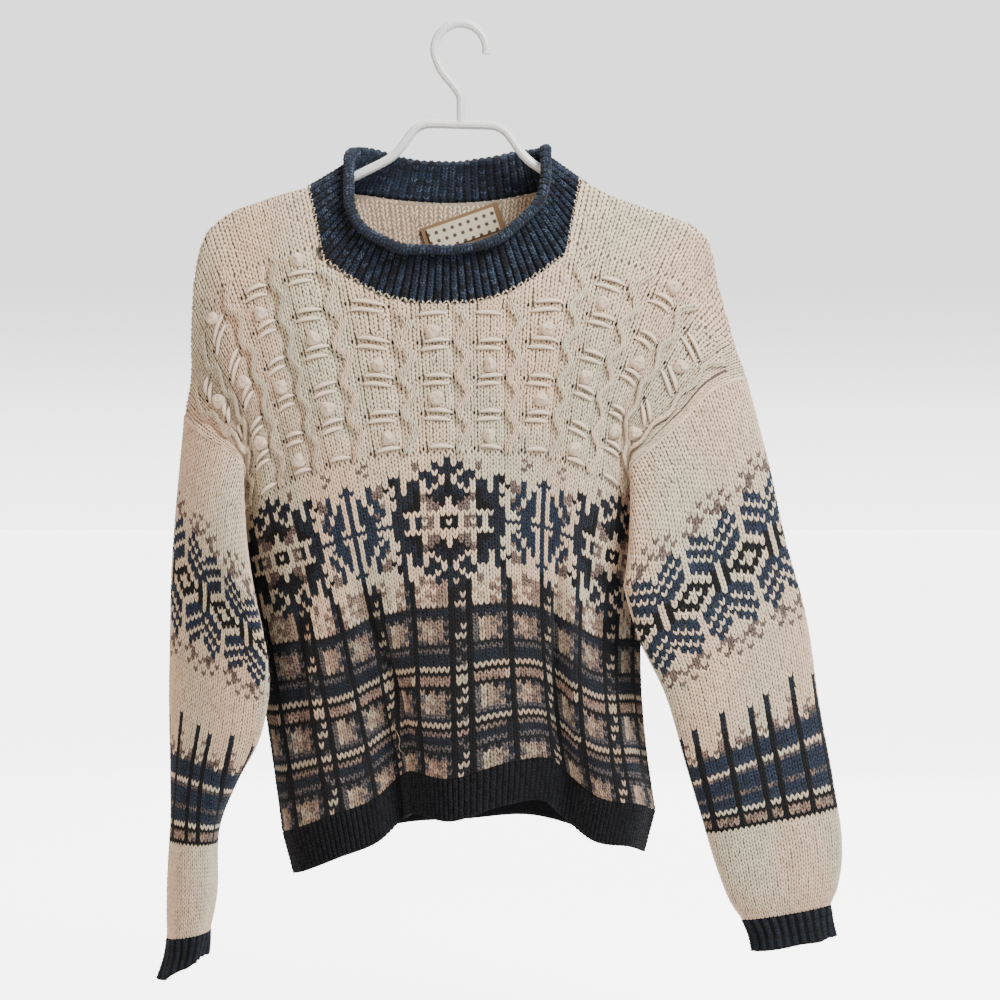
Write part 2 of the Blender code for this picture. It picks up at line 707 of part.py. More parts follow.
def main():
    for thing in list(bpy.data.objects):
        bpy.data.objects.remove(thing, do_unlink=True)
    garment = bpy.data.collections.new("garment")
    cutters = bpy.data.collections.new("cutters")
    bpy.context.scene.collection.children.link(garment)
    bpy.context.scene.collection.children.link(cutters)

    front_blocks = panel_blocks(True)
    back_block = panel_blocks(False)[0]
    left_rings, left_cuff = sleeve_rings(front_blocks, back_block, SLEEVE_LEFT, CUFF_LEFT, True)
    right_rings, right_cuff = sleeve_rings(front_blocks, back_block, SLEEVE_RIGHT, CUFF_RIGHT,
                                           False)
    left, middle, right = front_blocks
    front_seam = np.concatenate([left[0], middle[0, 1:], right[0, 1:]])
    loop, front_count = neck_loop(front_blocks, back_block)
    collar = collar_block(loop, quarters(loop, front_count))

    # name: its grids of points, and whether they wind inwards
    pieces = {
        "front": (front_blocks, False),
        "back": ([back_block], True),
        "sleeve_left": ([left_rings], True),
        "sleeve_right": ([right_rings], False),
        "hem_front": ([hem_block(front_seam)], False),
        "hem_back": ([hem_block(back_block[0])], True),
        "cuff_left": ([left_cuff], True),
        "cuff_right": ([right_cuff], False),
        "collar": ([collar], False),
    }
    cream = make_material("cotton_cream", (0.70, 0.63, 0.53), 0.95)
    charcoal = make_material("cotton_charcoal_marl", (0.035, 0.038, 0.052), 0.95)
    navy = make_material("cotton_navy_marl", (0.045, 0.062, 0.100), 0.95)
    denim = make_material("cotton_denim_marl", (0.075, 0.105, 0.175), 0.95)
    kraft = make_material("label_tape", (0.50, 0.36, 0.22), 0.85)
    woven = make_material("label_woven", (0.78, 0.74, 0.66), 0.80)
    plastic = make_material("hanger_plastic", (0.80, 0.81, 0.82), 0.35)
    finish = {"hem_front": charcoal, "hem_back": charcoal, "cuff_left": navy,
              "cuff_right": navy, "collar": denim}

    walls = cut_apart(*sew(pieces))
    for name, (vertices, faces) in walls.items():
        mesh_object(name, vertices, faces, finish.get(name, cream), garment)

    tape = label_sheet(BACKING_HALF, LABEL_LIFT, LABEL_THICK)
    mesh_object("label_backing", *tape, kraft, garment)
    face = label_sheet(LABEL_HALF, LABEL_LIFT + LABEL_THICK + SEAM_GAP, LABEL_THICK)
    mesh_object("label_face", *face, woven, garment)

    hook = []
    for degrees in range(-10, 206, 9):
        angle = math.radians(degrees)
        hook.append((HOOK_RADIUS * math.cos(angle),
                     TUBE - HOOK_RADIUS + HOOK_RADIUS * math.sin(angle)))
    stem = rounded([hook[-1], *STEM], 0.008, 3)
    arms = tube_object("hanger_arms", rounded(ARMS, 0.012, 4), plastic, cutters)
    arms.hide_render = True
    arms.display_type = "WIRE"
    hanger = tube_object("hanger", hook[:-1] + stem, plastic, garment)
    union = hanger.modifiers.new("arms", "BOOLEAN")
    union.operation = "UNION"
    union.solver = "EXACT"
    union.object = arms


main()
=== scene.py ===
import math

import bpy
import numpy as np
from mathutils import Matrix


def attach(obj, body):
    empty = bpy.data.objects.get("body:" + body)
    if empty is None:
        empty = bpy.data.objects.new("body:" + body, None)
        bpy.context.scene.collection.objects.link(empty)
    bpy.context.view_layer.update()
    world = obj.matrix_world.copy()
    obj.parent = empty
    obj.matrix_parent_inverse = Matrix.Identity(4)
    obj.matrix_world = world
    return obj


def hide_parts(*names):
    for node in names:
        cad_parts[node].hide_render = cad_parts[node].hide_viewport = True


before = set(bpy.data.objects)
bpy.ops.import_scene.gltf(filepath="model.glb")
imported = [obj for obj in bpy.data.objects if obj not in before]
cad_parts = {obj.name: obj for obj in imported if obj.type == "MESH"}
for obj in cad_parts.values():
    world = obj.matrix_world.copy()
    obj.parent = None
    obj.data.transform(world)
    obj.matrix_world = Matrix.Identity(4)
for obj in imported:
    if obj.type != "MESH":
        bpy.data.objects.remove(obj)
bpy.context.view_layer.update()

print("frame loaded")

# the cloth's sizes, in metres, as the maker's pattern gives them
cloth = {
    "wall": 0.003,
    "rowPitch": 0.0039,
    "ridge": 0.0085,
    "chestRow": 66,
    "neckRow": 114,
    "leftEdge": -48,
    "rightEdge": 48,
    "neckLeft": -13,
    "neckRight": 17,
    "edgeReach": 26,
    "lastRow": 130,
    "hemDepth": 0.037,
    "hemPull": 0.06,
    "rollRadius": 0.0028,
    "rollTurn": 225,
    "ringPower": 0.86,
    "cuffFolds": 3,
    "cuffFold": 0.0022,
}

wales = range(cloth["leftEdge"], cloth["rightEdge"])
halfStitches = np.arange(2 * cloth["leftEdge"], 2 * cloth["rightEdge"] + 1) * 0.5

# stitch, x, y, z along the hem seam
hemFront = (
    (-48, -0.157, 0.002, -0.707), (-42, -0.146, -0.024, -0.702), (-33, -0.112, -0.041, -0.688),
    (-24, -0.074, -0.034, -0.674), (-18, -0.056, -0.018, -0.659), (-11, -0.044, -0.030, -0.651),
    (0, -0.006, -0.052, -0.655), (9, 0.043, -0.050, -0.641), (17, 0.080, -0.036, -0.640),
    (22, 0.096, -0.028, -0.655), (30, 0.121, -0.048, -0.672), (40, 0.156, -0.036, -0.679),
    (48, 0.172, 0.002, -0.688),
)
hemBack = (
    (-48, -0.157, 0.002, -0.707), (-38, -0.130, 0.026, -0.690), (-19, -0.064, 0.034, -0.668),
    (0, 0.006, 0.029, -0.662), (19, 0.070, 0.035, -0.660), (38, 0.142, 0.027, -0.680),
    (48, 0.172, 0.002, -0.688),
)
# stitch, x, y, z along the course at the underarm
chestFront = (
    (-48, -0.203, 0.010, -0.445), (-40, -0.187, -0.005, -0.438), (-34, -0.166, -0.030, -0.428),
    (-24, -0.128, -0.047, -0.414), (-17, -0.101, -0.050, -0.405), (-8, -0.057, -0.052, -0.396),
    (0, -0.013, -0.054, -0.393), (8, 0.029, -0.053, -0.393), (17, 0.071, -0.051, -0.397),
    (24, 0.098, -0.048, -0.406), (34, 0.137, -0.022, -0.424), (40, 0.154, -0.001, -0.434),
    (48, 0.172, 0.010, -0.443),
)
chestBack = (
    (-48, -0.203, 0.010, -0.445), (-34, -0.166, 0.028, -0.425), (-17, -0.095, 0.034, -0.400),
    (0, -0.012, 0.032, -0.390), (17, 0.074, 0.034, -0.395), (34, 0.142, 0.029, -0.425),
    (48, 0.172, 0.010, -0.443),
)
# stitch, course, x, y, z along the shoulders
shoulderLeft = (
    (-48, 122, -0.2430, 0, -0.3420), (-44, 123, -0.2375, 0, -0.3120),
    (-37, 126, -0.2365, 0, -0.2620), (-32, 128, -0.2330, 0, -0.2130),
    (-29, 129, -0.2250, 0, -0.1830), (-26, 130, -0.2070, 0, -0.1650),
    (-21, 130, -0.1800, 0, -0.1535), (-16, 130, -0.1550, 0, -0.1450),
    (-13, 130, -0.1340, 0, -0.1395),
)
shoulderRight = (
    (17, 130, 0.106, 0, -0.133), (20, 130, 0.131, 0, -0.146), (24, 130, 0.158, 0, -0.156),
    (28, 130, 0.187, 0, -0.166), (31, 129, 0.208, 0, -0.176), (34, 128, 0.220, 0, -0.192),
    (37, 126, 0.226, 0, -0.222), (41, 124, 0.238, 0, -0.266), (48, 122, 0.252, 0, -0.308),
)
# stitch, course, x, y, z along the neck edge
neckFront = (
    (-10.2, 109.5, -0.098, -0.0240, -0.2210), (-7.2, 106.5, -0.072, -0.0290, -0.2365),
    (-3.5, 105, -0.042, -0.0325, -0.2445), (1, 104.5, -0.013, -0.0340, -0.2460),
    (5.5, 105, 0.015, -0.0330, -0.2440), (9.8, 106.5, 0.040, -0.0300, -0.2370),
    (13.4, 109.5, 0.064, -0.0250, -0.2230),
)
neckBack = (
    (-10.2, 129.4, -0.109, 0.0090, -0.1420), (-7.2, 128.6, -0.084, 0.0145, -0.1450),
    (-3.5, 127.9, -0.051, 0.0180, -0.1490), (1, 127.5, -0.012, 0.0195, -0.1510),
    (5.5, 127.8, 0.026, 0.0185, -0.1490), (9.8, 128.5, 0.058, 0.0150, -0.1440),
    (13.4, 129.4, 0.084, 0.0090, -0.1380),
)
# course, x, y, z up the armhole edges
armholes = {
    "frontLeft": (
        (66, -0.203, 0.010, -0.445), (74, -0.200, 0.000, -0.431), (82, -0.194, -0.014, -0.413),
        (91, -0.188, -0.028, -0.391), (98, -0.193, -0.031, -0.379),
        (105, -0.207, -0.028, -0.369), (113, -0.228, -0.017, -0.355),
        (122, -0.243, 0.000, -0.342),
    ),
    "frontRight": (
        (66, 0.172, 0.010, -0.443), (74, 0.168, 0.001, -0.428), (81, 0.155, -0.016, -0.410),
        (88, 0.148, -0.032, -0.388), (95, 0.166, -0.036, -0.370), (103, 0.194, -0.033, -0.345),
        (110, 0.216, -0.026, -0.322), (117, 0.238, -0.014, -0.311), (122, 0.252, 0.000, -0.308),
    ),
    "backLeft": (
        (66, -0.203, 0.010, -0.445), (85, -0.213, 0.024, -0.408), (103, -0.229, 0.022, -0.372),
        (113, -0.238, 0.014, -0.354), (122, -0.243, 0.000, -0.342),
    ),
    "backRight": (
        (66, 0.172, 0.010, -0.443), (85, 0.192, 0.024, -0.404), (103, 0.226, 0.023, -0.352),
        (113, 0.243, 0.014, -0.325), (122, 0.252, 0.000, -0.308),
    ),
}
# outer edge x, y, z; inner edge x, y, z; depth in front and behind; turn of the underarm
sleeveLeft = (
    (-0.2495, -0.004, -0.422, -0.175, -0.053, -0.502, 0.023, 0.017, 60),
    (-0.253, -0.006, -0.478, -0.166, -0.053, -0.545, 0.024, 0.019, 48),
    (-0.254, -0.008, -0.530, -0.164, -0.051, -0.580, 0.024, 0.021, 30),
    (-0.255, -0.006, -0.590, -0.173, -0.046, -0.622, 0.026, 0.024, 26),
    (-0.254, -0.004, -0.645, -0.194, -0.032, -0.661, 0.031, 0.028, 22),
    (-0.253, -0.008, -0.700, -0.211, -0.018, -0.704, 0.034, 0.032, 20),
    (-0.255, -0.010, -0.758, -0.213, -0.014, -0.757, 0.034, 0.032, 20),
    (-0.256, -0.010, -0.797, -0.219, -0.014, -0.791, 0.029, 0.027, 20),
)
sleeveRight = (
    (0.271, -0.004, -0.384, 0.141, -0.052, -0.490, 0.020, 0.018, 42),
    (0.285, -0.005, -0.450, 0.155, -0.048, -0.536, 0.022, 0.019, 36),
    (0.303, -0.008, -0.518, 0.178, -0.042, -0.584, 0.022, 0.018, 30),
    (0.314, -0.010, -0.594, 0.196, -0.033, -0.644, 0.021, 0.018, 26),
    (0.327, -0.010, -0.665, 0.210, -0.026, -0.690, 0.020, 0.018, 22),
    (0.334, -0.010, -0.715, 0.222, -0.022, -0.730, 0.021, 0.018, 20),
    (0.331, -0.010, -0.750, 0.234, -0.020, -0.762, 0.021, 0.018, 20),
    (0.324, -0.010, -0.769, 0.246, -0.018, -0.781, 0.017, 0.015, 20),
)
cuffLeft = (
    (-0.258, -0.011, -0.815, -0.220, -0.014, -0.801, 0.026, 0.024, 20),
    (-0.263, -0.012, -0.834, -0.222, -0.014, -0.812, 0.028, 0.026, 20),
)
cuffRight = (
    (0.325, -0.011, -0.783, 0.253, -0.018, -0.795, 0.014, 0.013, 20),
    (0.327, -0.012, -0.797, 0.257, -0.018, -0.809, 0.015, 0.014, 20),
)
# the collar's crest: quarter (0 front, 1 right shoulder, 2 back, 3 left), x, y, z
collarCrest = (
    (0.00, -0.011, -0.0480, -0.1960), (0.18, 0.014, -0.0475, -0.1935),
    (0.34, 0.036, -0.0440, -0.1800), (0.50, 0.054, -0.0380, -0.1660),
    (0.66, 0.066, -0.0290, -0.1500), (0.84, 0.070, -0.0160, -0.1270),
    (1.00, 0.069, -0.0010, -0.1070), (1.18, 0.068, 0.0130, -0.1050),
    (1.40, 0.054, 0.0240, -0.1040), (1.70, 0.022, 0.0290, -0.1090),
    (2.00, -0.010, 0.0300, -0.1130), (2.35, -0.047, 0.0290, -0.1100),
    (2.65, -0.074, 0.0230, -0.1040), (2.85, -0.088, 0.0120, -0.1060),
    (3.00, -0.092, -0.0010, -0.1150), (3.16, -0.092, -0.0160, -0.1360),
    (3.36, -0.089, -0.0300, -0.1640), (3.52, -0.076, -0.0380, -0.1810),
    (3.68, -0.056, -0.0440, -0.1890), (3.84, -0.034, -0.0475, -0.1950),
    (4.00, -0.011, -0.0480, -0.1960),
)

# yarn letters: ground, second ply (both as seen), how much of the second ply shows
yarns = {
    "c": ((0.88, 0.795, 0.705), (0.76, 0.68, 0.60), 0.30),
    "w": ((0.91, 0.84, 0.755), (0.80, 0.73, 0.65), 0.25),
    "z": ((0.76, 0.675, 0.59), (0.58, 0.51, 0.46), 0.35),
    "b": ((0.66, 0.57, 0.49), (0.46, 0.39, 0.36), 0.45),
    "m": ((0.33, 0.28, 0.275), (0.56, 0.48, 0.43), 0.40),
    "p": ((0.43, 0.345, 0.32), (0.64, 0.54, 0.47), 0.45),
    "g": ((0.20, 0.195, 0.215), (0.42, 0.39, 0.38), 0.45),
    "h": ((0.016, 0.021, 0.036), (0.135, 0.145, 0.18), 0.42),
    "n": ((0.045, 0.060, 0.092), (0.125, 0.155, 0.21), 0.50),
    "d": ((0.066, 0.098, 0.155), (0.175, 0.222, 0.30), 0.50),
    "a": ((0.085, 0.115, 0.170), (0.25, 0.30, 0.37), 0.55),
    # e is the dark brown of the painted shade in the holes by the purled gaps
    "e": ((0.15, 0.12, 0.10), (0.20, 0.16, 0.13), 0.40),
    "k": ((0.014, 0.016, 0.026), (0.04, 0.045, 0.068), 0.35),
}
yarnNames = "".join(yarns)


def through(keys, values, at):
    # a smooth curve through the values, flat beyond its ends
    keys = np.asarray(keys, float)
    values = np.asarray(values, float)
    gaps = np.diff(keys)
    slopes = np.diff(values, axis=0) / gaps[:, None]
    tangents = np.empty_like(values)
    tangents[0] = slopes[0]
    tangents[-1] = slopes[-1]
    weight = (gaps[1:] + gaps[:-1])[:, None]
    tangents[1:-1] = (slopes[:-1] * gaps[1:, None] + slopes[1:] * gaps[:-1, None]) / weight
    at = np.clip(np.asarray(at, float), keys[0], keys[-1])
    index = np.clip(np.searchsorted(keys, at, side="right") - 1, 0, len(gaps) - 1)
    gap = gaps[index][..., None]
    share = (at - keys[index])[..., None] / gap
    rise = share * share * (3 - 2 * share)
    lead = share * (1 - share) ** 2
    lag = share * share * (share - 1)
    return (values[index] * (1 - rise) + values[index + 1] * rise
            + gap * (lead * tangents[index] + lag * tangents[index + 1]))


def lengthAlong(line):
    return np.concatenate([[0], np.cumsum(np.linalg.norm(np.diff(line, axis=0), axis=1))])


def pointsAt(at, keys, line):
    return np.stack([np.interp(at, keys, line[:, axis]) for axis in range(3)], axis=1)


def tableCurve(table, at):
    table = np.asarray(table, float)
    return through(table[:, 0], table[:, 1:], at)


def quadratic(hem, chest, top, last, row):
    row = row[..., None]
    last = last[..., None]
    chestRow = cloth["chestRow"]
    return (hem * (row - chestRow) * (row - last) / (chestRow * last)
            + chest * row * (last - row) / (chestRow * (last - chestRow))
            + top * row * (row - chestRow) / (last * (last - chestRow)))


def under(front, stitch, edge, row):
    # a place on the curved cloth between the hem, the chest and its top edge
    hem = tableCurve(hemFront if front else hemBack, stitch)
    chest = tableCurve(chestFront if front else chestBack, stitch)
    return quadratic(hem, chest, edge[..., 1:], edge[..., 0], row)


def sidePoint(front, stitch, row):
    shoulder = shoulderLeft if stitch < 0 else shoulderRight
    spot = np.array([float(stitch)])
    point = under(front, spot, tableCurve(shoulder, spot), np.array([float(row)]))[0]
    return (stitch, row, *point)


neckTables = {}
for isFront in (True, False):
    firstRow = cloth["neckRow"] if isFront else cloth["lastRow"]
    neckTables[isFront] = (sidePoint(isFront, cloth["neckLeft"], firstRow),
                           *(neckFront if isFront else neckBack),
                           sidePoint(isFront, cloth["neckRight"], firstRow))


def topEdge(front, stitch):
    # each wale's last course: its number, x, y, z
    left = tableCurve(shoulderLeft, stitch)
    right = tableCurve(shoulderRight, stitch)
    middle = tableCurve(neckTables[front], stitch)
    stitch = stitch[..., None]
    return np.where(stitch <= cloth["neckLeft"], left,
                    np.where(stitch >= cloth["neckRight"], right, middle))


def ruled(front, stitch, row):
    return under(front, stitch, topEdge(front, stitch), row)


def panelPoint(front, stitch, row):
    # the outside of a body panel
    stitch, row = np.broadcast_arrays(np.asarray(stitch, float), np.asarray(row, float))
    last = topEdge(front, stitch)[..., 0]
    row = np.clip(row, 0, last)
    point = ruled(front, stitch, row)
    within = np.minimum(stitch - cloth["neckLeft"], cloth["neckRight"] - stitch)
    within = (within > 0).astype(float) if front else np.clip(within / 3, 0, 1)
    drop = np.clip((last - row) * cloth["rowPitch"] / cloth["ridge"], 0, 1)
    roundness = np.sqrt(1 - (1 - drop) ** 2) * (1 - within) + within
    reach = np.minimum(stitch - cloth["leftEdge"], cloth["rightEdge"] - stitch)
    openEnd = np.clip(reach / 20 + 0.6, 0, 1)
    fade = np.clip((row - 80) / 30, 0, 1)
    bulge = cloth["ridge"] * roundness * openEnd * fade * fade * (3 - 2 * fade)
    point[..., 1] += -bulge if front else bulge
    for side, edge in (("Left", cloth["leftEdge"]), ("Right", cloth["rightEdge"])):
        table = armholes[("front" if front else "back") + side]
        near = np.clip(1 - np.abs(stitch - edge) / cloth["edgeReach"], 0, 1) ** 1.5
        at = np.clip(row, cloth["chestRow"], table[-1][0])
        shift = tableCurve(table, at) - ruled(front, np.full_like(stitch, edge), at)
        point = point + np.where((row > cloth["chestRow"])[..., None], shift * near[..., None], 0)
    return point


def panelNormal(front, stitch, row):
    stitch, row = np.broadcast_arrays(np.asarray(stitch, float), np.asarray(row, float))
    last = topEdge(front, stitch)[..., 0]
    row = np.minimum(row, last)
    low = np.clip(stitch - 0.4, cloth["leftEdge"], cloth["rightEdge"])
    high = np.clip(stitch + 0.4, cloth["leftEdge"], cloth["rightEdge"])
    # the neck's side wales belong to the shoulders, so the step never crosses them
    for edge in (cloth["neckLeft"], cloth["neckRight"]):
        inside = -1 if edge == cloth["neckLeft"] else 1
        crossing = (low < edge) & (high > edge) & (row > 100)
        low = np.where(crossing & (inside * (edge - stitch) > 0), edge, low)
        high = np.where(crossing & (inside * (edge - stitch) <= 0), edge, high)
        flipped = low > high
        low, high = np.where(flipped, high, low), np.where(flipped, low, high)
        same = (high - low) < 0.05
        low = np.where(same, stitch - 0.2, low)
        high = np.where(same, stitch + 0.2, high)
    across = panelPoint(front, high, row) - panelPoint(front, low, row)
    up = panelPoint(front, stitch, row) - panelPoint(front, stitch, row - 0.7)
    normal = np.cross(across, up)
    normal /= np.maximum(np.linalg.norm(normal, axis=-1), 1e-12)[..., None]
    return normal if front else -normal


# the cabled yoke: an eight-wale repeat of barrels, a zigzag cable and purled gaps
yoke = {
    "firstRow": 70.5,
    "lastRow": 117.0,
    "barrelRise": 0.0017,
    "cableRise": 0.0007,
    "cableLift": 0.0030,
    "cableSwing": 1.05,
    "cableMiddle": 3.3,
    "purlDrop": 0.0017,
}


def zigzag(row):
    # right peaks at courses 4.5 above each wrap, left peaks on the wraps
    share = np.mod(row, 8) / 8
    wave = np.where(share < 0.5625, share / 0.5625, (1 - share) / 0.4375)
    return wave * 2 - 1


def yokeShare(row):
    low = np.clip((row - yoke["firstRow"]) / 2, 0, 1)
    high = np.clip((yoke["lastRow"] - row) / 2, 0, 1)
    return low * high


def yokeRelief(stitch, row):
    # height of the yoke's figures over the plain cloth
    place = np.mod(stitch + 3, 8) - 3
    middle = yoke["cableMiddle"] + yoke["cableSwing"] * zigzag(row)
    cable = np.exp(-((place - middle) / 0.8) ** 2) * yoke["cableRise"]
    barrelRow = np.mod(row, 8) - 3.1
    width = np.clip(1 - ((place + 0.5) / 2.35) ** 2, 0, 1)
    barrel = np.sqrt(width) * np.sqrt(np.clip(1 - (barrelRow / 4.2) ** 2, 0.15, 1))
    low = np.exp(-((place - 2.0) / 0.35) ** 2) + np.exp(-((place - 4.95) / 0.35) ** 2)
    height = np.maximum(cable, barrel * yoke["barrelRise"]) - low * yoke["purlDrop"]
    return height * yokeShare(row)


# the large folds are in the panels' tables; these are the slack creases:
# stitch and course at each end, half width in stitches, height in metres
creases = {
    "front": (
        (-38, 8, -30, 58, 1.7, -0.0062), (-33, 6, -34, 42, 2.0, 0.0030),
        (20, 3, 22.5, 54, 1.3, -0.0088), (25.5, 2, 26, 56, 2.0, 0.0062),
        (-9, 1, -18, 44, 1.6, -0.0080), (-13, 2, -22, 42, 2.2, 0.0044),
        (-3, 2, -11, 34, 2.4, 0.0022),
        (34, 20, 31, 62, 2.4, -0.0026), (40, 30, 34, 74, 2.0, 0.0022),
        (-40, 50, -30, 84, 2.6, 0.0024), (-34, 62, -22, 96, 3.0, -0.0018),
        (36, 64, 24, 98, 2.8, -0.0020), (-9, 0, -7, 18, 1.8, 0.0014),
        (12, 0, 10, 22, 1.8, 0.0012), (4, 30, 6, 52, 3.0, 0.0009),
    ),
    "back": (
        (-30, 6, -24, 60, 2.4, 0.0030), (-8, 2, -12, 44, 2.6, -0.0022),
        (14, 4, 10, 58, 2.4, 0.0026), (32, 10, 28, 64, 2.4, -0.0026),
        (36, 60, 20, 100, 3.0, -0.0020), (-36, 62, -20, 100, 3.0, 0.0020),
    ),
}


def foldRelief(table, across, up):
    # soft troughs and ridges from one place to another, fading at their ends
    total = np.zeros(np.broadcast(across, up).shape)
    for u0, v0, u1, v1, width, height in table:
        middle = u0 + (u1 - u0) * np.clip((up - v0) / (v1 - v0), 0, 1)
        ends = np.sin(np.pi * np.clip((up - v0 + 3) / (v1 - v0 + 6), 0, 1))
        total = total + height * ends * np.exp(-((across - middle) / width) ** 2)
    return total


def creaseRelief(front, stitch, row):
    total = foldRelief(creases["front" if front else "back"], stitch, row)
    edge = np.minimum(stitch - cloth["leftEdge"], cloth["rightEdge"] - stitch)
    edge = np.clip(edge / 5, 0, 1)
    return total * edge * np.clip(row / 5, 0, 1)


def panelRelief(front, stitch, row):
    return yokeRelief(stitch, row) + creaseRelief(front, stitch, row)


def sectionPoints(row, share):
    outer, inner = row[0:3], row[3:6]
    middle = (outer + inner) / 2
    across = (outer - inner) / 2
    turn = math.radians(row[8])
    angle = np.where(share < 0.5, share * 2 * (math.pi + turn),
                     math.pi + turn + (share - 0.5) * 2 * (math.pi - turn))
    cosine, sine = np.cos(angle), np.sin(angle)
    along = np.sign(cosine) * np.abs(cosine) ** cloth["ringPower"]
    depth = np.where(sine > 0, row[6], row[7])
    out = np.sign(sine) * np.abs(sine) ** cloth["ringPower"] * depth
    points = middle + along[:, None] * across
    points[:, 1] -= out
    return points, angle


def evenHalves(points, count):
    # points spaced evenly from the shoulder line to the underarm, back half then front half
    half = len(points) // 2
    result = []
    for line in (points[half:][::-1], points[:half + 1]):
        steps = lengthAlong(line)
        result.append(pointsAt(np.linspace(0, steps[-1], count // 2 + 1), steps, line))
    back, front = result
    return np.concatenate([back[::-1], front[1:]])


def ringGrid(rings, count, rows):
    # rings from the top down become a grid from the bottom up, its rows evenly spaced
    even = np.array([evenHalves(ring, count) for ring in rings])[::-1]
    steps = np.linalg.norm(np.diff(even, axis=0), axis=2).mean(axis=1)
    way = np.concatenate([[0], np.cumsum(steps)])
    at = np.linspace(0, way[-1], rows * 2 + 1)
    grid = np.empty((len(at), even.shape[1], 3))
    for column in range(even.shape[1]):
        for axis in range(3):
            grid[:, column, axis] = np.interp(at, way, even[:, column, axis])
    return grid


def armholeLoop(left):
    edge = cloth["leftEdge"] if left else cloth["rightEdge"]
    rows = np.linspace(122, 66, 57)
    down = panelPoint(True, np.full(57, edge), rows)
    up = panelPoint(False, np.full(57, edge), rows[::-1])
    shares = []
    for line in (down, up):
        steps = lengthAlong(line)
        shares.append(steps / steps[-1] / 2)
    loop = np.concatenate([down, up[1:]])
    share = np.concatenate([shares[0], 0.5 + shares[1][1:]])
    return loop, share


def sleeveRings(left):
    table = np.array(sleeveLeft if left else sleeveRight, float)
    loop, loopShare = armholeLoop(left)
    share = np.linspace(0, 1, 241)
    start = pointsAt(share, loopShare, loop)
    keys = np.arange(1, len(table) + 1)
    rings = []
    for key in np.linspace(0, len(table), 113):
        if key < 1:
            points = start * (1 - key) + sectionPoints(table[0], share)[0] * key
        else:
            points = sectionPoints(through(keys, table, np.array([key]))[0], share)[0]
        rings.append(points)
    return rings


def cuffRings(left):
    sleeve = np.array(sleeveLeft if left else sleeveRight, float)
    cuff = np.array(cuffLeft if left else cuffRight, float)
    table = np.concatenate([sleeve[-1:], cuff])
    share = np.linspace(0, 1, 241)
    rings = []
    for key in np.linspace(0, len(cuff), 17):
        points, angle = sectionPoints(through(np.arange(len(table)), table, np.array([key]))[0],
                                      share)
        middle = points[:-1].mean(axis=0)
        out = points - middle
        out[:, 2] = 0
        out /= np.maximum(np.linalg.norm(out, axis=1), 1e-6)[:, None]
        fold = cloth["cuffFold"] * key / len(cuff) * np.cos(2 * cloth["cuffFolds"] * angle)
        rings.append(points + out * fold[:, None])
    return rings


def gridNormals(grid, closed):
    if closed:
        ring = grid[:, :-1]
        across = np.roll(ring, -1, axis=1) - np.roll(ring, 1, axis=1)
        across = np.concatenate([across, across[:, :1]], axis=1)
    else:
        across = np.gradient(grid, axis=1)
    up = np.gradient(grid, axis=0)
    normal = np.cross(across, up)
    return normal / np.maximum(np.linalg.norm(normal, axis=-1), 1e-12)[..., None]


def panelGrid(points, normals, flip):
    return {"points": points, "normals": normals, "u0": cloth["leftEdge"], "du": 0.5, "dv": 0.5,
            "flip": flip}


def ringedGrid(points, normals, flip):
    return {"points": points, "normals": normals, "u0": -0.5, "du": 1 / (points.shape[1] - 1),
            "dv": 0.5, "flip": flip}


def sampleSheet(sheet, u, v):
    points, normals = sheet["points"], sheet["normals"]
    rows, columns = points.shape[:2]
    x = np.clip((u - sheet["u0"]) / sheet["du"], 0, columns - 1.001)
    y = np.clip(v / sheet["dv"], 0, rows - 1.001)
    i, j = x.astype(int), y.astype(int)
    fx, fy = (x - i)[..., None], (y - j)[..., None]
    result = []
    for field in (points, normals):
        low = field[j, i] * (1 - fx) + field[j, i + 1] * fx
        high = field[j + 1, i] * (1 - fx) + field[j + 1, i + 1] * fx
        result.append(low * (1 - fy) + high * fy)
    normal = result[1]
    normal = normal / np.maximum(np.linalg.norm(normal, axis=-1), 1e-9)[..., None]
    return result[0], normal


def panelSheet(front):
    row = (np.arange(2 * cloth["lastRow"] + 3) * 0.5)[:, None]
    stitches, rows = np.broadcast_arrays(halfStitches[None, :], row)
    points = panelPoint(front, stitches, rows)
    normals = panelNormal(front, stitches, rows)
    points = points + normals * panelRelief(front, stitches, rows)[..., None]
    return panelGrid(points, normals, not front)


def ringSheet(rings, count, rows, relief):
    grid = ringGrid(rings, count, rows)
    normals = gridNormals(grid, True)
    middle = grid.mean(axis=1, keepdims=True)
    outward = (normals * (grid - middle)).sum(axis=-1).mean()
    flip = outward < 0
    if flip:
        normals = -normals
    w = np.linspace(-0.5, 0.5, grid.shape[1])
    v = np.arange(grid.shape[0]) * 0.5
    grid = grid + normals * relief(w[None, :], v[:, None])[..., None]
    return ringedGrid(grid, normals, flip)


# one leg of a stitch: across, up (both in stitches), height in mm
legs = {
    "spine": ((0.10, -0.40), (0.17, 0.14), (0.31, 0.70), (0.42, 1.22)),
    "heights": (-0.05, 0.62, 0.48, -0.55),
    "edgeDrop": 0.95,
    "halfWidth": 0.205,
    "aspect": 0.80,
}


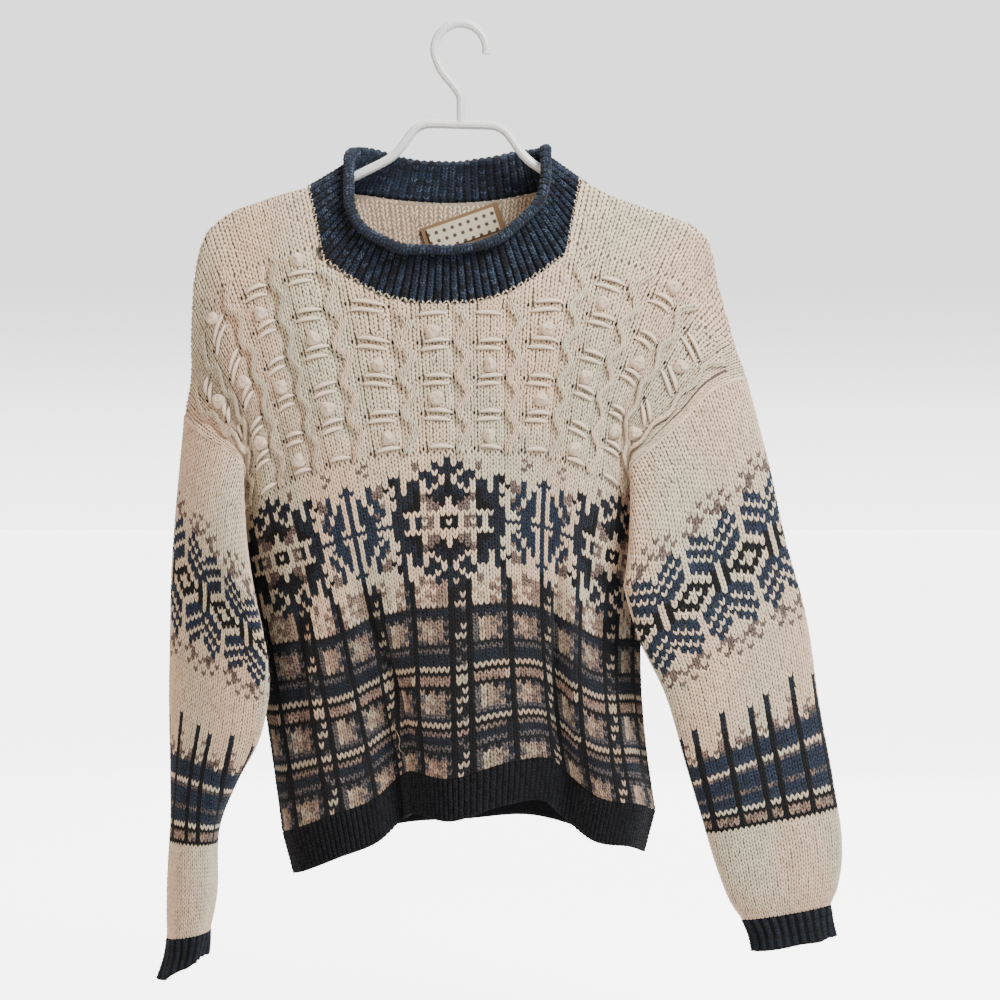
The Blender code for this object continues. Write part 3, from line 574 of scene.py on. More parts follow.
def legTemplate(width=1.0):
    spine = np.array(legs["spine"], float)
    heights = legs["heights"]
    half = legs["halfWidth"] * width
    spots = [(spine[0, 0], spine[0, 1], heights[0], 0.0, 0.0)]
    for index in (1, 2):
        run = spine[index + 1] - spine[index - 1]
        run = np.array([run[0], run[1] * legs["aspect"]])
        run /= np.linalg.norm(run)
        side = np.array([run[1], -run[0] / legs["aspect"]]) * half
        for lane in (-1, 0, 1):
            u, v = spine[index] + side * lane
            drop = legs["edgeDrop"] if lane else 0
            spots.append((u, v, heights[index] - drop, index / 3, lane))
    spots.append((spine[3, 0], spine[3, 1], heights[3], 1.0, 0.0))
    right = np.array(spots)
    left = right.copy()
    left[:, 0] *= -1
    left[:, 4] *= -1
    faces = np.array([(0, 3, 2), (0, 2, 1), (1, 2, 5), (1, 5, 4), (2, 3, 6), (2, 6, 5),
                      (4, 5, 7), (5, 6, 7)])
    return np.concatenate([right, left]), np.concatenate([faces, faces[:, ::-1] + 8])


def toLinear(colour):
    colour = np.asarray(colour, float)
    return np.where(colour <= 0.04045, colour / 12.92, ((colour + 0.055) / 1.055) ** 2.4)


def wander(a, b, seed):
    # a slow uneven value between -1 and 1
    turn = seed * 1.7
    return (np.sin(a * 0.31 + 1.3 * np.sin(b * 0.17 + turn) + turn)
            + np.sin(b * 0.23 + 1.7 * np.sin(a * 0.13 - turn) + 2 * turn)) / 2


def yarnColours(letters, u, v, seed):
    # the two plies of each stitch, with the cream drifting slowly between warm and cool across the
    # cloth
    index = np.array([yarnNames.index(letter) for letter in letters])
    ground = np.array([yarns[name][0] for name in yarnNames])[index]
    ply = np.array([yarns[name][1] for name in yarnNames])[index]
    marl = np.array([yarns[name][2] for name in yarnNames])[index]
    rng = np.random.default_rng(seed)
    pale = np.array([name in "cwzb" for name in yarnNames])[index]
    cool = np.clip(0.5 + 0.9 * wander(u, v * 0.45, seed), 0, 1)[:, None] * pale[:, None]
    tint = (1 - cool) * np.array([1.02, 0.985, 0.955]) + cool * np.array([0.95, 1.0, 0.985])
    tint = np.where(pale[:, None], tint, 1.0)
    shade = 1 + 0.05 * rng.standard_normal((len(letters), 1)) * np.where(pale, 0.6, 1.6)[:, None]
    ground = np.clip(ground * tint * shade, 0.01, 0.97)
    ply = np.clip(ply * tint * shade, 0.01, 0.97)
    return toLinear(ground), toLinear(ply), marl


def newObject(name, data):
    thing = bpy.data.objects.new(name, data)
    bpy.context.scene.collection.objects.link(thing)
    return thing


def newMesh(name, vertices, faces, material):
    mesh = bpy.data.meshes.new(name)
    mesh.from_pydata(vertices, [], faces)
    mesh.update()
    mesh.shade_smooth()
    mesh.materials.append(material)
    return newObject(name, mesh)


def paint(thing, ground, ply, lay, domain="POINT"):
    mesh = thing.data
    for name, values in (("ground", ground), ("ply", ply)):
        layer = mesh.color_attributes.new(name, "FLOAT_COLOR", domain)
        full = np.ones((len(values), 4), np.float32)
        full[:, :3] = values
        layer.data.foreach_set("color", full.ravel())
    layer = mesh.attributes.new("lay", "FLOAT_VECTOR", "POINT")
    layer.data.foreach_set("vector", np.ascontiguousarray(lay, np.float32).ravel())


def knit(name, sheet, stitches, letters, material, seed, width=1.0, scaleU=1.0, scaleH=1.0,
         lift=0.0, perTurn=None):
    # lays two yarn legs for every stitch: u and v of its foot, in stitches and courses
    stitches = np.asarray(stitches, float)
    template, faces = legTemplate(width)
    rng = np.random.default_rng(seed)
    count = len(stitches)
    jitter = rng.standard_normal((count, 3)) * np.array([0.035, 0.04, 0.05])
    u = stitches[:, 0:1] + jitter[:, 0:1] + template[None, :, 0] * scaleU
    v = stitches[:, 1:2] + jitter[:, 1:2] + template[None, :, 1]
    h = (template[None, :, 2] * scaleH + jitter[:, 2:3]) * 0.001 + lift
    across = u if perTurn is None else u / perTurn(v)
    if perTurn is not None:
        across = np.mod(across + 0.5, 1) - 0.5
    points, normals = sampleSheet(sheet, across, v)
    vertices = (points + normals * h[..., None]).reshape(-1, 3)
    if sheet["flip"]:
        faces = faces[:, ::-1]
    faces = (faces[None] + (np.arange(count) * 16)[:, None, None]).reshape(-1, 3)
    thing = newMesh(name, vertices, faces, material)
    ground, ply, marl = yarnColours(letters, stitches[:, 0], stitches[:, 1], seed)
    lay = np.empty((count, 16, 3))
    lay[..., 0] = template[None, :, 3] + rng.random((count, 1))
    lay[..., 1] = template[None, :, 4]
    lay[..., 2] = marl[:, None]
    paint(thing, np.repeat(ground, 16, axis=0), np.repeat(ply, 16, axis=0), lay.reshape(-1, 3))
    return thing


def closedWall(name, outer, inner, quads, quadLetters, quadSpots, material, seed, dark):
    # an outer and an inner sheet joined by a rim along every open edge
    count = len(outer)
    edges = np.concatenate([quads[:, [0, 1]], quads[:, [1, 2]], quads[:, [2, 3]],
                            quads[:, [3, 0]]])
    keys = np.sort(edges, axis=1)
    code = keys[:, 0].astype(np.int64) * count + keys[:, 1]
    _, first, uses = np.unique(code, return_index=True, return_counts=True)
    rim = edges[first[uses == 1]]
    rimQuads = np.stack([rim[:, 1], rim[:, 0], rim[:, 0] + count, rim[:, 1] + count], axis=1)
    faces = np.concatenate([quads, quads[:, ::-1] + count, rimQuads])
    thing = newMesh(name, np.concatenate([outer, inner]), faces, material)
    ground, ply, marl = yarnColours(quadLetters, quadSpots[:, 0], quadSpots[:, 1], seed)
    quadOf = np.tile(np.arange(len(quads)), 4)
    owner = quadOf[first[uses == 1]]
    # painted shade: each face of the wall takes its yarn's colour darkened by a set factor
    whole, wholePly = (np.concatenate([tone * dark, tone * wallShade["inside"],
                                       tone[owner] * wallShade["rim"]])
                       for tone in (ground, ply))
    lay = np.tile(np.array([0.2, 0.0, 0.45], np.float32), (len(thing.data.vertices), 1))
    paint(thing, np.repeat(whole, 4, axis=0), np.repeat(wholePly, 4, axis=0), lay, "CORNER")
    return thing


print("sheets of cloth")
sheets = {"front": panelSheet(True), "back": panelSheet(False)}

# sleeves: stitches round at the armhole and the cuff, courses, charts' places
sleeveKnit = {
    "left": {"top": 68, "cuff": 56, "rows": 112, "eye": 6.5, "line": 2.0},
    "right": {"top": 68, "cuff": 56, "rows": 112, "eye": 8.5, "line": 1.0},
}
# share of the turn and course at each end, half width, height
sleeveFolds = {
    "left": ((0.10, 60, 0.26, 96, 0.030, -0.0022), (0.30, 20, 0.36, 60, 0.030, 0.0020),
             (0.06, 4, 0.12, 30, 0.030, 0.0016), (0.40, 40, 0.30, 90, 0.028, -0.0018),
             (-0.20, 20, -0.30, 90, 0.04, 0.0022)),
    "right": ((0.10, 64, 0.30, 100, 0.030, -0.0020), (0.28, 6, 0.20, 30, 0.026, -0.0034),
              (0.22, 2, 0.14, 26, 0.026, 0.0026), (0.36, 40, 0.30, 92, 0.030, 0.0020),
              (0.05, 10, 0.12, 40, 0.030, 0.0014), (-0.25, 10, -0.2, 90, 0.04, 0.0022)),
}


def sleeveRelief(side):
    def relief(w, v):
        ends = np.clip(v / 4, 0, 1) * np.clip((sleeveKnit[side]["rows"] - v) / 5, 0, 1)
        return foldRelief(sleeveFolds[side], w, v) * ends
    return relief


for side in ("left", "right"):
    plan = sleeveKnit[side]
    sheets["sleeve_" + side] = ringSheet(sleeveRings(side == "left"), 120, plan["rows"],
                                         sleeveRelief(side))


def turnSize(plan):
    def size(v):
        return plan["cuff"] + (plan["top"] - plan["cuff"]) * np.clip(v / plan["rows"], 0, 1)
    return size


def steadyTurn(count):
    return lambda v: count + 0 * v


# plaid: a letter for each course from the hem up; B and F are courses of boxes
plaidRows = "BBBBBhgnnmkcnBBBBBBkppkcnnnghBBBBBBnhFFFFFF"
plaidBoxes = {"wide": ("bbpmpm", "pbzbmm", "pzbmpm"), "narrow": ("bzbbm", "zbbpm", "bzbmb")}
plaidTops = {0: 41, 7: 45, 8: 42, 9: 43, 10: 41, 16: 44}


def plaidLetter(stitch, row):
    column = (stitch + 7) % 17
    if row >= len(plaidRows):
        if row <= plaidTops.get(column, 0):
            return "k" if column in (0, 7, 10) else "n"
        return "c"
    kind = plaidRows[row]
    if column in (0, 7, 10):
        return "k"
    if column in (8, 9):
        if kind in "BF":
            return "z" if (row * 2 + column * 3) % 7 in (0, 3) else "h"
        if kind in "cmp":
            return "z" if kind != "m" else "p"
        return "k" if kind == "k" else ("h" if (row + column) % 3 else "g")
    if column == 16:
        if kind in "BF":
            return "g" if row % 3 == 1 else "n"
        return "k" if kind == "k" else ("z" if kind in "cp" else "h")
    if kind in "BF":
        box = "wide" if column < 7 else "narrow"
        lane = column - 1 if column < 7 else column - 11
        letter = plaidBoxes[box][row % 3][lane]
        edge = lane == 0 or lane == (5 if box == "wide" else 4)
        ends = (row + 1 >= len(plaidRows) or plaidRows[row + 1] not in "BF"
                or plaidRows[row - 1] not in "BF")
        # scattered stitches on the boxes' edges and ends below course 36 turn dark grey, so the
        # boxes look smaller
        scatter = (row * 7 + column * 5 + row * column) % 6
        if row < 36 and ((edge and scatter < 5) or (row and ends and scatter in (1, 2, 4))):
            return "g" if scatter % 2 else "h"
        if kind == "F":
            letter = {"b": "c", "m": "b" if row % 2 else "p"}.get(letter, letter)
        return letter
    return "z" if kind == "c" else kind


# snowflakes: a string for each course from the middle out, letters from the middle wale out
flakeLarge = (
    "ckcmcncnnnc",
    "kkcmmncnnnc",
    "ccccccccnnc",
    "ccmmckkknnc",
    "ckmmckknncc",
    "ckkmmknnncc",
    "kknkmknnnnc",
    "knncckncncc",
    "kncncnncnck",
    "kcnncnncnkc",
    "ncnnncccnkc",
    "nncnncccccc",
    "nnnccmccccc",
    "ncnccmccccc",
    "ncccccccccc",
)
flakeSmall = (
    "ddddddddc",
    "dccddcccc",
    "dcddddccc",
    "dcdddcdcc",
    "dcddcddcc",
    "dcddcdccc",
    "dcdcddccc",
    "dcdcdcccc",
    "dcccdcccc",
    "ddccdcccc",
    "dcccccccc",
)
bandMiddle = 55


def bandLetter(stitch, row):
    up = abs(row - bandMiddle)
    place = (stitch + 17) % 34 - 17
    out = abs(place)
    if up < len(flakeLarge) and out <= 10:
        letter = flakeLarge[up][out]
        if letter != "c":
            return letter
    side = abs(abs(place) - 17)
    if up < len(flakeSmall) and side <= 8:
        letter = flakeSmall[up][side]
        if letter != "c":
            return letter
    if out == 0 and bandMiddle - 20 < row < bandMiddle:
        return "k" if row < 45 else "c"
    if out in (11, 12) and 2 < up < 10 and (row + out) % 4:
        return "m"
    if side in (3, 4) and up in (12, 13, 14) and (row + side) % 2:
        return "m"
    if row < 45:
        return plaidLetter(stitch, row)
    return "c"


def bodyLetter(front, stitch, row):
    stitch = stitch if front else -stitch - 1
    if row < 41:
        return plaidLetter(stitch, row)
    if row <= 70:
        return bandLetter(stitch, row)
    return "c"


# sleeves: courses of the plaid band above 22, then the star lattice round course 78
sleevePlaid = "kppkcdddgddddgcddddgm"
latticeMiddle = 78
starLattice = (
    "cckkkc", "ckkckc", "kkcckc", "kccddc", "ccdddd", "cdddcd", "cddcdd", "cdcddc",
    "ccddcd", "cddcdc", "cdcddc", "ccddcc", "ccdccc", "ccmmcc", "cmcmmc", "cccmcm", "ccmccc",
    "ccccmc",
)


def sleeveLetter(plan, stitch, row):
    lane = int(math.floor(stitch - plan["line"])) % 13
    line = lane in (0, 5, 10)
    step = row - 22
    if 0 <= step < len(sleevePlaid):
        if line:
            return "k"
        letter = sleevePlaid[step]
        if letter == "p":
            return "pmbp"[(lane + step) % 4]
        if letter in "gm" and (lane * 3 + step) % 4 == 0:
            return "c" if step > 17 else "m"
        return letter
    if len(sleevePlaid) <= step < 30:
        if line:
            return ("k" if step < 24 else "n") if step <= 26 + (lane * 7) % 3 else "c"
        if step < 25 and (lane * 5 + step * 3) % (2 + step - 20) == 0:
            return "p"
    up = abs(row - latticeMiddle)
    if up < len(starLattice):
        place = (stitch - plan["eye"] + 5) % 10 - 5
        out = int(round(abs(place)))
        return starLattice[up][min(out, 5)]
    return "c"


def newGroup(name, inputs, outputs):
    group = bpy.data.node_groups.new(name, "ShaderNodeTree")
    for title, kind, value in inputs:
        socket = group.interface.new_socket(title, in_out="INPUT", socket_type=kind)
        if value is not None:
            socket.default_value = value
    for title, kind in outputs:
        group.interface.new_socket(title, in_out="OUTPUT", socket_type=kind)
    return group


def link(tree, source, target):
    tree.links.new(source, target)


def setInputs(node, values):
    for title, value in values.items():
        node.inputs[title].default_value = value


def mapRange(tree, value, ends):
    node = tree.nodes.new("ShaderNodeMapRange")
    setInputs(node, ends)
    link(tree, value, node.inputs["Value"])
    return node


def mathNode(tree, operation, first, second=None):
    node = tree.nodes.new("ShaderNodeMath")
    node.operation = operation
    for socket, value in ((node.inputs[0], first), (node.inputs[1], second)):
        if isinstance(value, (int, float)):
            socket.default_value = value
        elif value is not None:
            link(tree, value, socket)
    return node.outputs[0]


def noiseNode(tree, coordinates, scale, detail=None):
    node = tree.nodes.new("ShaderNodeTexNoise")
    node.inputs["Scale"].default_value = scale
    if detail is not None:
        node.inputs["Detail"].default_value = detail
    link(tree, coordinates.outputs["Object"], node.inputs["Vector"])
    return node.outputs[0]


def bumpInto(tree, shader, height, strength, distance):
    bump = tree.nodes.new("ShaderNodeBump")
    setInputs(bump, {"Strength": strength, "Distance": distance})
    link(tree, height, bump.inputs["Height"])
    link(tree, bump.outputs["Normal"], shader.inputs["Normal"])


def mixColour(tree, share, first, second, blend="MIX"):
    node = tree.nodes.new("ShaderNodeMix")
    node.data_type = "RGBA"
    node.blend_type = blend
    for socket, value in ((node.inputs[0], share), (node.inputs[6], first),
                          (node.inputs[7], second)):
        if isinstance(value, (int, float, tuple)):
            socket.default_value = value
        else:
            link(tree, value, socket)
    return node.outputs[2]


def buildYarnGroup():
    group = newGroup("twistedYarn", (
        ("Ground", "NodeSocketColor", None), ("Ply", "NodeSocketColor", None),
        ("Lay", "NodeSocketVector", None), ("Twist", "NodeSocketFloat", 2.2),
        ("Fuzz", "NodeSocketFloat", 0.5), ("Groove", "NodeSocketFloat", 0.55),
    ), (("Colour", "NodeSocketColor"), ("Height", "NodeSocketFloat")))
    tree = group
    source = tree.nodes.new("NodeGroupInput")
    target = tree.nodes.new("NodeGroupOutput")
    parts = tree.nodes.new("ShaderNodeSeparateXYZ")
    link(tree, source.outputs["Lay"], parts.inputs[0])
    along, across, marl = parts.outputs
    coordinates = tree.nodes.new("ShaderNodeTexCoord")
    fibres = noiseNode(tree, coordinates, 1900, 2)
    flecks = noiseNode(tree, coordinates, 620, 2)
    # the plies wind round the yarn
    turns = mathNode(tree, "MULTIPLY", along, source.outputs["Twist"])
    lean = mathNode(tree, "MULTIPLY", across, 0.32)
    wound = mathNode(tree, "ADD", turns, lean)
    wave = mathNode(tree, "SINE", mathNode(tree, "MULTIPLY", wound, 6.2832))
    plies = mathNode(tree, "ADD", mathNode(tree, "MULTIPLY", wave, 0.5), 0.5)
    blend = mathNode(tree, "ADD", mathNode(tree, "MULTIPLY", plies, 0.55),
                     mathNode(tree, "MULTIPLY", flecks, 0.9))
    ramp = mapRange(tree, blend, {"From Min": 0.45, "From Max": 0.95})
    share = mathNode(tree, "MULTIPLY", ramp.outputs[0], mathNode(tree, "MULTIPLY", marl, 1.6))
    colour = mixColour(tree, share, source.outputs["Ground"], source.outputs["Ply"])
    # painted shade: darker down the sides of each leg, and where the plies part
    side = mathNode(tree, "MULTIPLY", across, across)
    side = mathNode(tree, "MULTIPLY", side, source.outputs["Groove"])
    light = mathNode(tree, "SUBTRACT", 1.0, side)
    part = mathNode(tree, "MULTIPLY", mathNode(tree, "SUBTRACT", 1.0, plies), 0.10)
    light = mathNode(tree, "SUBTRACT", light, part)
    haze = mathNode(tree, "MULTIPLY", mathNode(tree, "SUBTRACT", fibres, 0.5),
                    source.outputs["Fuzz"])
    light = mathNode(tree, "ADD", light, haze)
    tone = tree.nodes.new("ShaderNodeCombineXYZ")
    for socket in tone.inputs:
        link(tree, light, socket)
    colour = mixColour(tree, 1.0, colour, tone.outputs[0], "MULTIPLY")
    link(tree, colour, target.inputs["Colour"])
    height = mathNode(tree, "ADD", mathNode(tree, "MULTIPLY", plies, 0.5),
                      mathNode(tree, "MULTIPLY", fibres, 0.5))
    link(tree, height, target.inputs["Height"])
    return group


yarnGroup = buildYarnGroup()


def plainMaterial(name, rough):
    material = bpy.data.materials.new(name)
    material.use_nodes = True
    shader = material.node_tree.nodes["Principled BSDF"]
    shader.inputs["Roughness"].default_value = rough
    return material, material.node_tree, shader


def yarnMaterial(name, settings):
    material, tree, shader = plainMaterial(name, settings["rough"])
    setInputs(shader, {"Sheen Weight": settings["sheen"], "Sheen Roughness": 0.6,
                       "Specular IOR Level": 0.2})
    yarn = tree.nodes.new("ShaderNodeGroup")
    yarn.node_tree = yarnGroup
    for title, layerName in (("Ground", "ground"), ("Ply", "ply"), ("Lay", "lay")):
        layer = tree.nodes.new("ShaderNodeAttribute")
        layer.attribute_name = layerName
        source = layer.outputs["Vector"] if title == "Lay" else layer.outputs["Color"]
        link(tree, source, yarn.inputs[title])
    for title in ("Twist", "Fuzz", "Groove"):
        yarn.inputs[title].default_value = settings[title.lower()]
    link(tree, yarn.outputs["Colour"], shader.inputs["Base Color"])
    bumpInto(tree, shader, yarn.outputs["Height"], settings["bump"], 0.0003)
    return material


# groove sets how much painted shade darkens the sides of each leg
stitchYarn = yarnMaterial("knittedCotton", {
    "rough": 0.92, "sheen": 0.10, "twist": 2.2, "fuzz": 0.50, "groove": 0.68, "bump": 0.7})
ribYarn = yarnMaterial("marledRibCotton", {
    "rough": 0.94, "sheen": 0.06, "twist": 2.6, "fuzz": 0.60, "groove": 0.70, "bump": 0.8})
backingYarn = yarnMaterial("knittedCottonBehind", {
    "rough": 0.96, "sheen": 0.05, "twist": 0.0, "fuzz": 0.60, "groove": 0.0, "bump": 0.5})


wallDepth = {"outer": 0.0007, "inner": 0.0027}
# the wall's faces are painted darker than their yarn as painted shade: the outer face as the shade
# between stitches, the inner face and the rim as the shade within the cloth
wallShade = {"cloth": 0.15, "rib": 0.2, "collar": 0.25, "inside": 0.42, "rim": 0.6}


def wallRows(front, column):
    # the course at each step up a wale; the neck's own wales stop lower
    last = topEdge(front, np.array([float(column)]))[0, 0]
    inside = front and cloth["neckLeft"] < column < cloth["neckRight"]
    steps = cloth["neckRow"] if inside else cloth["lastRow"]
    return np.minimum(np.arange(cloth["lastRow"] + 1), steps) * last / steps


def gridWall(name, points, normals, flip, describe, seed, dark, closed=False):
    # describe gives a cell's yarn letter and spot, or None where the cloth is cut away
    rows, width = points.shape[0] - 1, points.shape[1]
    outer = (points - normals * wallDepth["outer"]).reshape(-1, 3)
    inner = (points - normals * wallDepth["inner"]).reshape(-1, 3)
    quads, letters, spots = [], [], []
    for j in range(rows):
        for i in range(width if closed else width - 1):
            cell = describe(j, i)
            if cell is None:
                continue
            a = j * width + i
            b = j * width + (i + 1) % width
            quad = (a, b, b + width, a + width)
            quads.append(quad[::-1] if flip else quad)
            letters.append(cell[0])
            spots.append(cell[1])
    return closedWall(name, outer, inner, np.array(quads), letters, np.array(spots, float),
                      backingYarn, seed, dark)


def settle(pieces):
    for piece in pieces:
        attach(piece, "root")


def panelWall(front):
    name = "front" if front else "back"
    columns = np.arange(cloth["leftEdge"], cloth["rightEdge"] + 1)
    rows = np.stack([wallRows(front, column) for column in columns], axis=1)
    stitches = np.broadcast_to(columns[None, :], rows.shape).astype(float)
    points = panelPoint(front, stitches, rows)
    normals = panelNormal(front, stitches, rows)
    points = points + normals * panelRelief(front, stitches, rows)[..., None]

    def describe(j, i):
        inside = front and cloth["neckLeft"] <= columns[i] < cloth["neckRight"]
        if inside and j >= cloth["neckRow"]:
            return None
        row = int(rows[j:j + 2, i:i + 2].mean())
        return bodyLetter(front, int(columns[i]), row), (columns[i], row)

    return gridWall(name + "_knit_wall", points, normals, not front, describe,
                    3 if front else 4, wallShade["cloth"])


def yokeStitch(stitch, row):
    # where a stitch of the yoke moves to
    lane = (stitch + 2) % 8 - 2
    base = stitch - lane
    if lane >= 2:
        return base + (1.98, 2.95, 3.9, 4.92)[lane - 2]
    barrelRow = (row % 8) - 3.1
    squeeze = 1.0 - 0.16 * abs(barrelRow / 4.2) ** 2
    return base - 0.5 + (lane + 0.5) * 1.04 * squeeze


def panelStitches(front):
    name = "front" if front else "back"
    sheet = sheets[name]
    middles = np.array(wales) + 0.5
    last = topEdge(front, middles)[:, 0]
    slope = np.maximum(topEdge(front, middles - 0.4)[:, 0], topEdge(front, middles + 0.4)[:, 0])
    last = last + np.clip(slope - last, 0, 1.4) + 0.45
    spots, letters = [], []
    for i, stitch in enumerate(wales):
        for row in range(cloth["lastRow"]):
            if row + 0.75 > last[i]:
                break
            middle = stitch + 0.5
            if yoke["firstRow"] + 0.5 <= row <= yoke["lastRow"] - 1 and -47 < stitch < 46:
                middle = yokeStitch(stitch, row)
            spots.append((middle, row))
            letters.append(bodyLetter(front, stitch, row))
    return knit(name + "_stitches", sheet, spots, letters, stitchYarn, 11 if front else 12)


def ringQuads(start, bands, turns):
    return [(a + i, a + (i + 1) % turns, a + (i + 1) % turns + turns, a + i + turns)
            for a in range(start, start + bands * turns, turns) for i in range(turns)]


def tubeAlong(paths, radius, sides, flat):
    # closed tubes along lists of points, each with its own normal
    vertices, faces, lay = [], [], []
    for path, normals in paths:
        path = np.asarray(path)
        tangent = np.gradient(path, axis=0)
        tangent /= np.maximum(np.linalg.norm(tangent, axis=1), 1e-9)[:, None]
        side = np.cross(tangent, normals)
        side /= np.maximum(np.linalg.norm(side, axis=1), 1e-9)[:, None]
        start = sum(len(block) for block in vertices)
        steps = len(path)
        angle = np.arange(sides) * 2 * math.pi / sides
        size = radius * np.sqrt(np.sin(np.pi * np.linspace(0.04, 0.96, steps)))[:, None, None]
        size = np.maximum(size, radius * 0.45)
        ring = (side[:, None] * np.cos(angle)[None, :, None]
                + normals[:, None] * np.sin(angle)[None, :, None] * flat)
        vertices.append((path[:, None] + ring * size).reshape(-1, 3))
        across = np.abs(np.arange(sides) / sides * 2 - 1) * 2 - 1
        spin = np.stack(np.broadcast_arrays(np.arange(steps)[:, None] / 3, across[None], 0.3),
                        axis=-1)
        lay.append(spin.reshape(-1, 3))
        faces += ringQuads(start, steps - 1, sides)
        faces.append(tuple(start + i for i in range(sides))[::-1])
        faces.append(tuple(start + (steps - 1) * sides + i for i in range(sides)))
    return np.concatenate(vertices), faces, np.concatenate(lay)


def paintAll(thing, letter, lay, seed):
    ground = toLinear(np.array(yarns[letter][0]))
    ply = toLinear(np.array(yarns[letter][1]))
    count = len(thing.data.vertices)
    tone = np.random.default_rng(seed).normal(1, 0.02, (count, 1))
    paint(thing, ground[None] * tone, ply[None] * tone, lay)


tubeRadius = {"core": 0.0027, "wrap": 0.0021, "holeShadow": 0.0011, "seam": 0.0019,
              "looseEnd": 0.00045}


def tubePiece(name, paths, radius, sides, flat, letter, seed, material=None):
    vertices, faces, lay = tubeAlong(paths, radius, sides, flat)
    piece = newMesh(name, vertices, faces, material or stitchYarn)
    paintAll(piece, letter, lay, seed)
    return piece


def yokeCables(front):
    # a rope of two wales that swings between the barrels, over a round core
    name = "front" if front else "back"
    sheet = sheets[name]
    spots, cores = [], []
    for k in range(-6, 6):
        middle = 8 * k + yoke["cableMiddle"]
        if abs(middle) > 45:
            continue
        last = float(topEdge(front, np.array([middle]))[0, 0])
        top = min(last - 1.5, yoke["lastRow"])
        rows = np.arange(71, top, 0.5)
        path = middle + yoke["cableSwing"] * zigzag(rows)
        soft = np.convolve(np.pad(path, 2, mode="edge"), np.ones(5) / 5, mode="valid")
        points, normals = sampleSheet(sheet, soft, rows)
        cores.append((points + normals * 0.0014, normals))
        for row in range(71, int(top)):
            at = float(np.interp(row + 0.5, rows, soft))
            spots += [(at - 0.31, row), (at + 0.31, row)]
    cable = knit(name + "_cables", sheet, spots, ["w"] * len(spots), stitchYarn, 23, width=0.85,
                 scaleU=0.62, scaleH=1.2, lift=yoke["cableLift"])
    core = tubePiece(name + "_cable_cores", cores, tubeRadius["core"], 5, 0.6, "z", 24)
    return [cable, core]


bobble = {"across": 0.0061, "up": 0.0067, "height": 0.0054, "sunk": 0.0004, "turns": 16,
          "bands": 6}


def yokeTrims(front):
    # the wraps round the barrels, the bobbles in every other one, and short dark tubes by the
    # purled gaps, painted shade in the holes there
    name = "front" if front else "back"
    sheet = sheets[name]
    wraps, domes, domeFaces, domeLay, holeShadowPaths = [], [], [], [], []
    for k in range(-5, 6):
        middle = 8 * k - 0.5
        last = float(topEdge(front, np.array([middle]))[0, 0])
        for j in range(9, 15):
            for low, high, row in ((-2.3, 1.6, 8 * j), (-2.8, 1.2, 8 * j - 1.8)):
                if row + 2 > last or row < 71 or row > 116:
                    continue
                u = 8 * k + np.linspace(low, high, 9)
                v = row + 0.25 * np.sin(np.linspace(0, np.pi, 9))
                v = v + 0.28 * math.sin(k * 4.3 + j * 5.1 + low) * np.linspace(-1, 1, 9)
                points, normals = sampleSheet(sheet, u, v)
                arch = np.sin(np.pi * np.linspace(0, 1, 9))[:, None]
                wraps.append((points + normals * (0.0003 + 0.0013 * arch), normals))
                if high == 1.6:
                    # painted shade: a short dark tube at each purled gap stands for the shadow in
                    # the hole
                    for u in (8 * k + 1.95, 8 * k - 3.02):
                        v = row + np.array([-0.75, -0.45, -0.1, 0.15])
                        points, normals = sampleSheet(sheet, np.full(4, u), v)
                        holeShadowPaths.append((points + normals * 0.0006, normals))
            centre = 8 * j + 2.6
            if k % 2 != j % 2 or centre + 4 > last or centre > 116 or centre < 71:
                continue
            centre += 0.45 * math.sin(k * 3.1 + j * 7.7)
            aside = middle + 0.4 * math.cos(k * 7.3 + j * 2.9)
            grow = 1 + 0.12 * math.sin(k * 5.9 + j * 3.3)
            point, normal = sampleSheet(sheet, np.array([aside]), np.array([centre]))
            right, _ = sampleSheet(sheet, np.array([aside + 0.5]), np.array([centre]))
            point, normal, right = point[0], normal[0], right[0] - point[0]
            right -= normal * right.dot(normal)
            right /= np.linalg.norm(right)
            up = np.cross(normal, right)
            start = len(domes)
            turns, bands = bobble["turns"], bobble["bands"]
            for band in range(bands + 1):
                lift = band / bands * math.pi / 2
                for turn in range(turns):
                    angle = turn / turns * 2 * math.pi
                    pinch = 1 + 0.09 * math.cos(angle * 3 + k * 2 + j) * math.cos(lift)
                    out = math.cos(lift) * pinch
                    height = math.sin(lift) * (1 + 0.14 * math.cos(angle * 2 + j * 3 + k))
                    domes.append(point + right * out * bobble["across"] * grow * math.cos(angle)
                                 + up * out * bobble["up"] * math.sin(angle)
                                 + normal * (height * bobble["height"] - bobble["sunk"]))
                    crinkle = math.sin(angle * 2 + band * 0.9 + k) * 0.7
                    domeLay.append((turn / 3.2 + band / 6, crinkle, 0.3))
            domeFaces += ringQuads(start, bands, turns)
    wrap = tubePiece(name + "_wraps", wraps, tubeRadius["wrap"], 8, 0.8, "w", 21)
    # the dark tubes of painted shade in the holes
    holeShadows = tubePiece(name + "_eyelets", holeShadowPaths, tubeRadius["holeShadow"], 6, 0.5, "e", 26,
                        backingYarn)
    knobs = newMesh(name + "_bobbles", np.array(domes), domeFaces, stitchYarn)
    paintAll(knobs, "c", np.array(domeLay), 22)
    return [wrap, knobs, holeShadows]


def insideSheet():
    # the back panel seen from within, through the neck
    sheet = sheets["back"]
    inner = sheet["points"] - sheet["normals"] * wallDepth["inner"]
    return panelGrid(inner, -sheet["normals"], False)


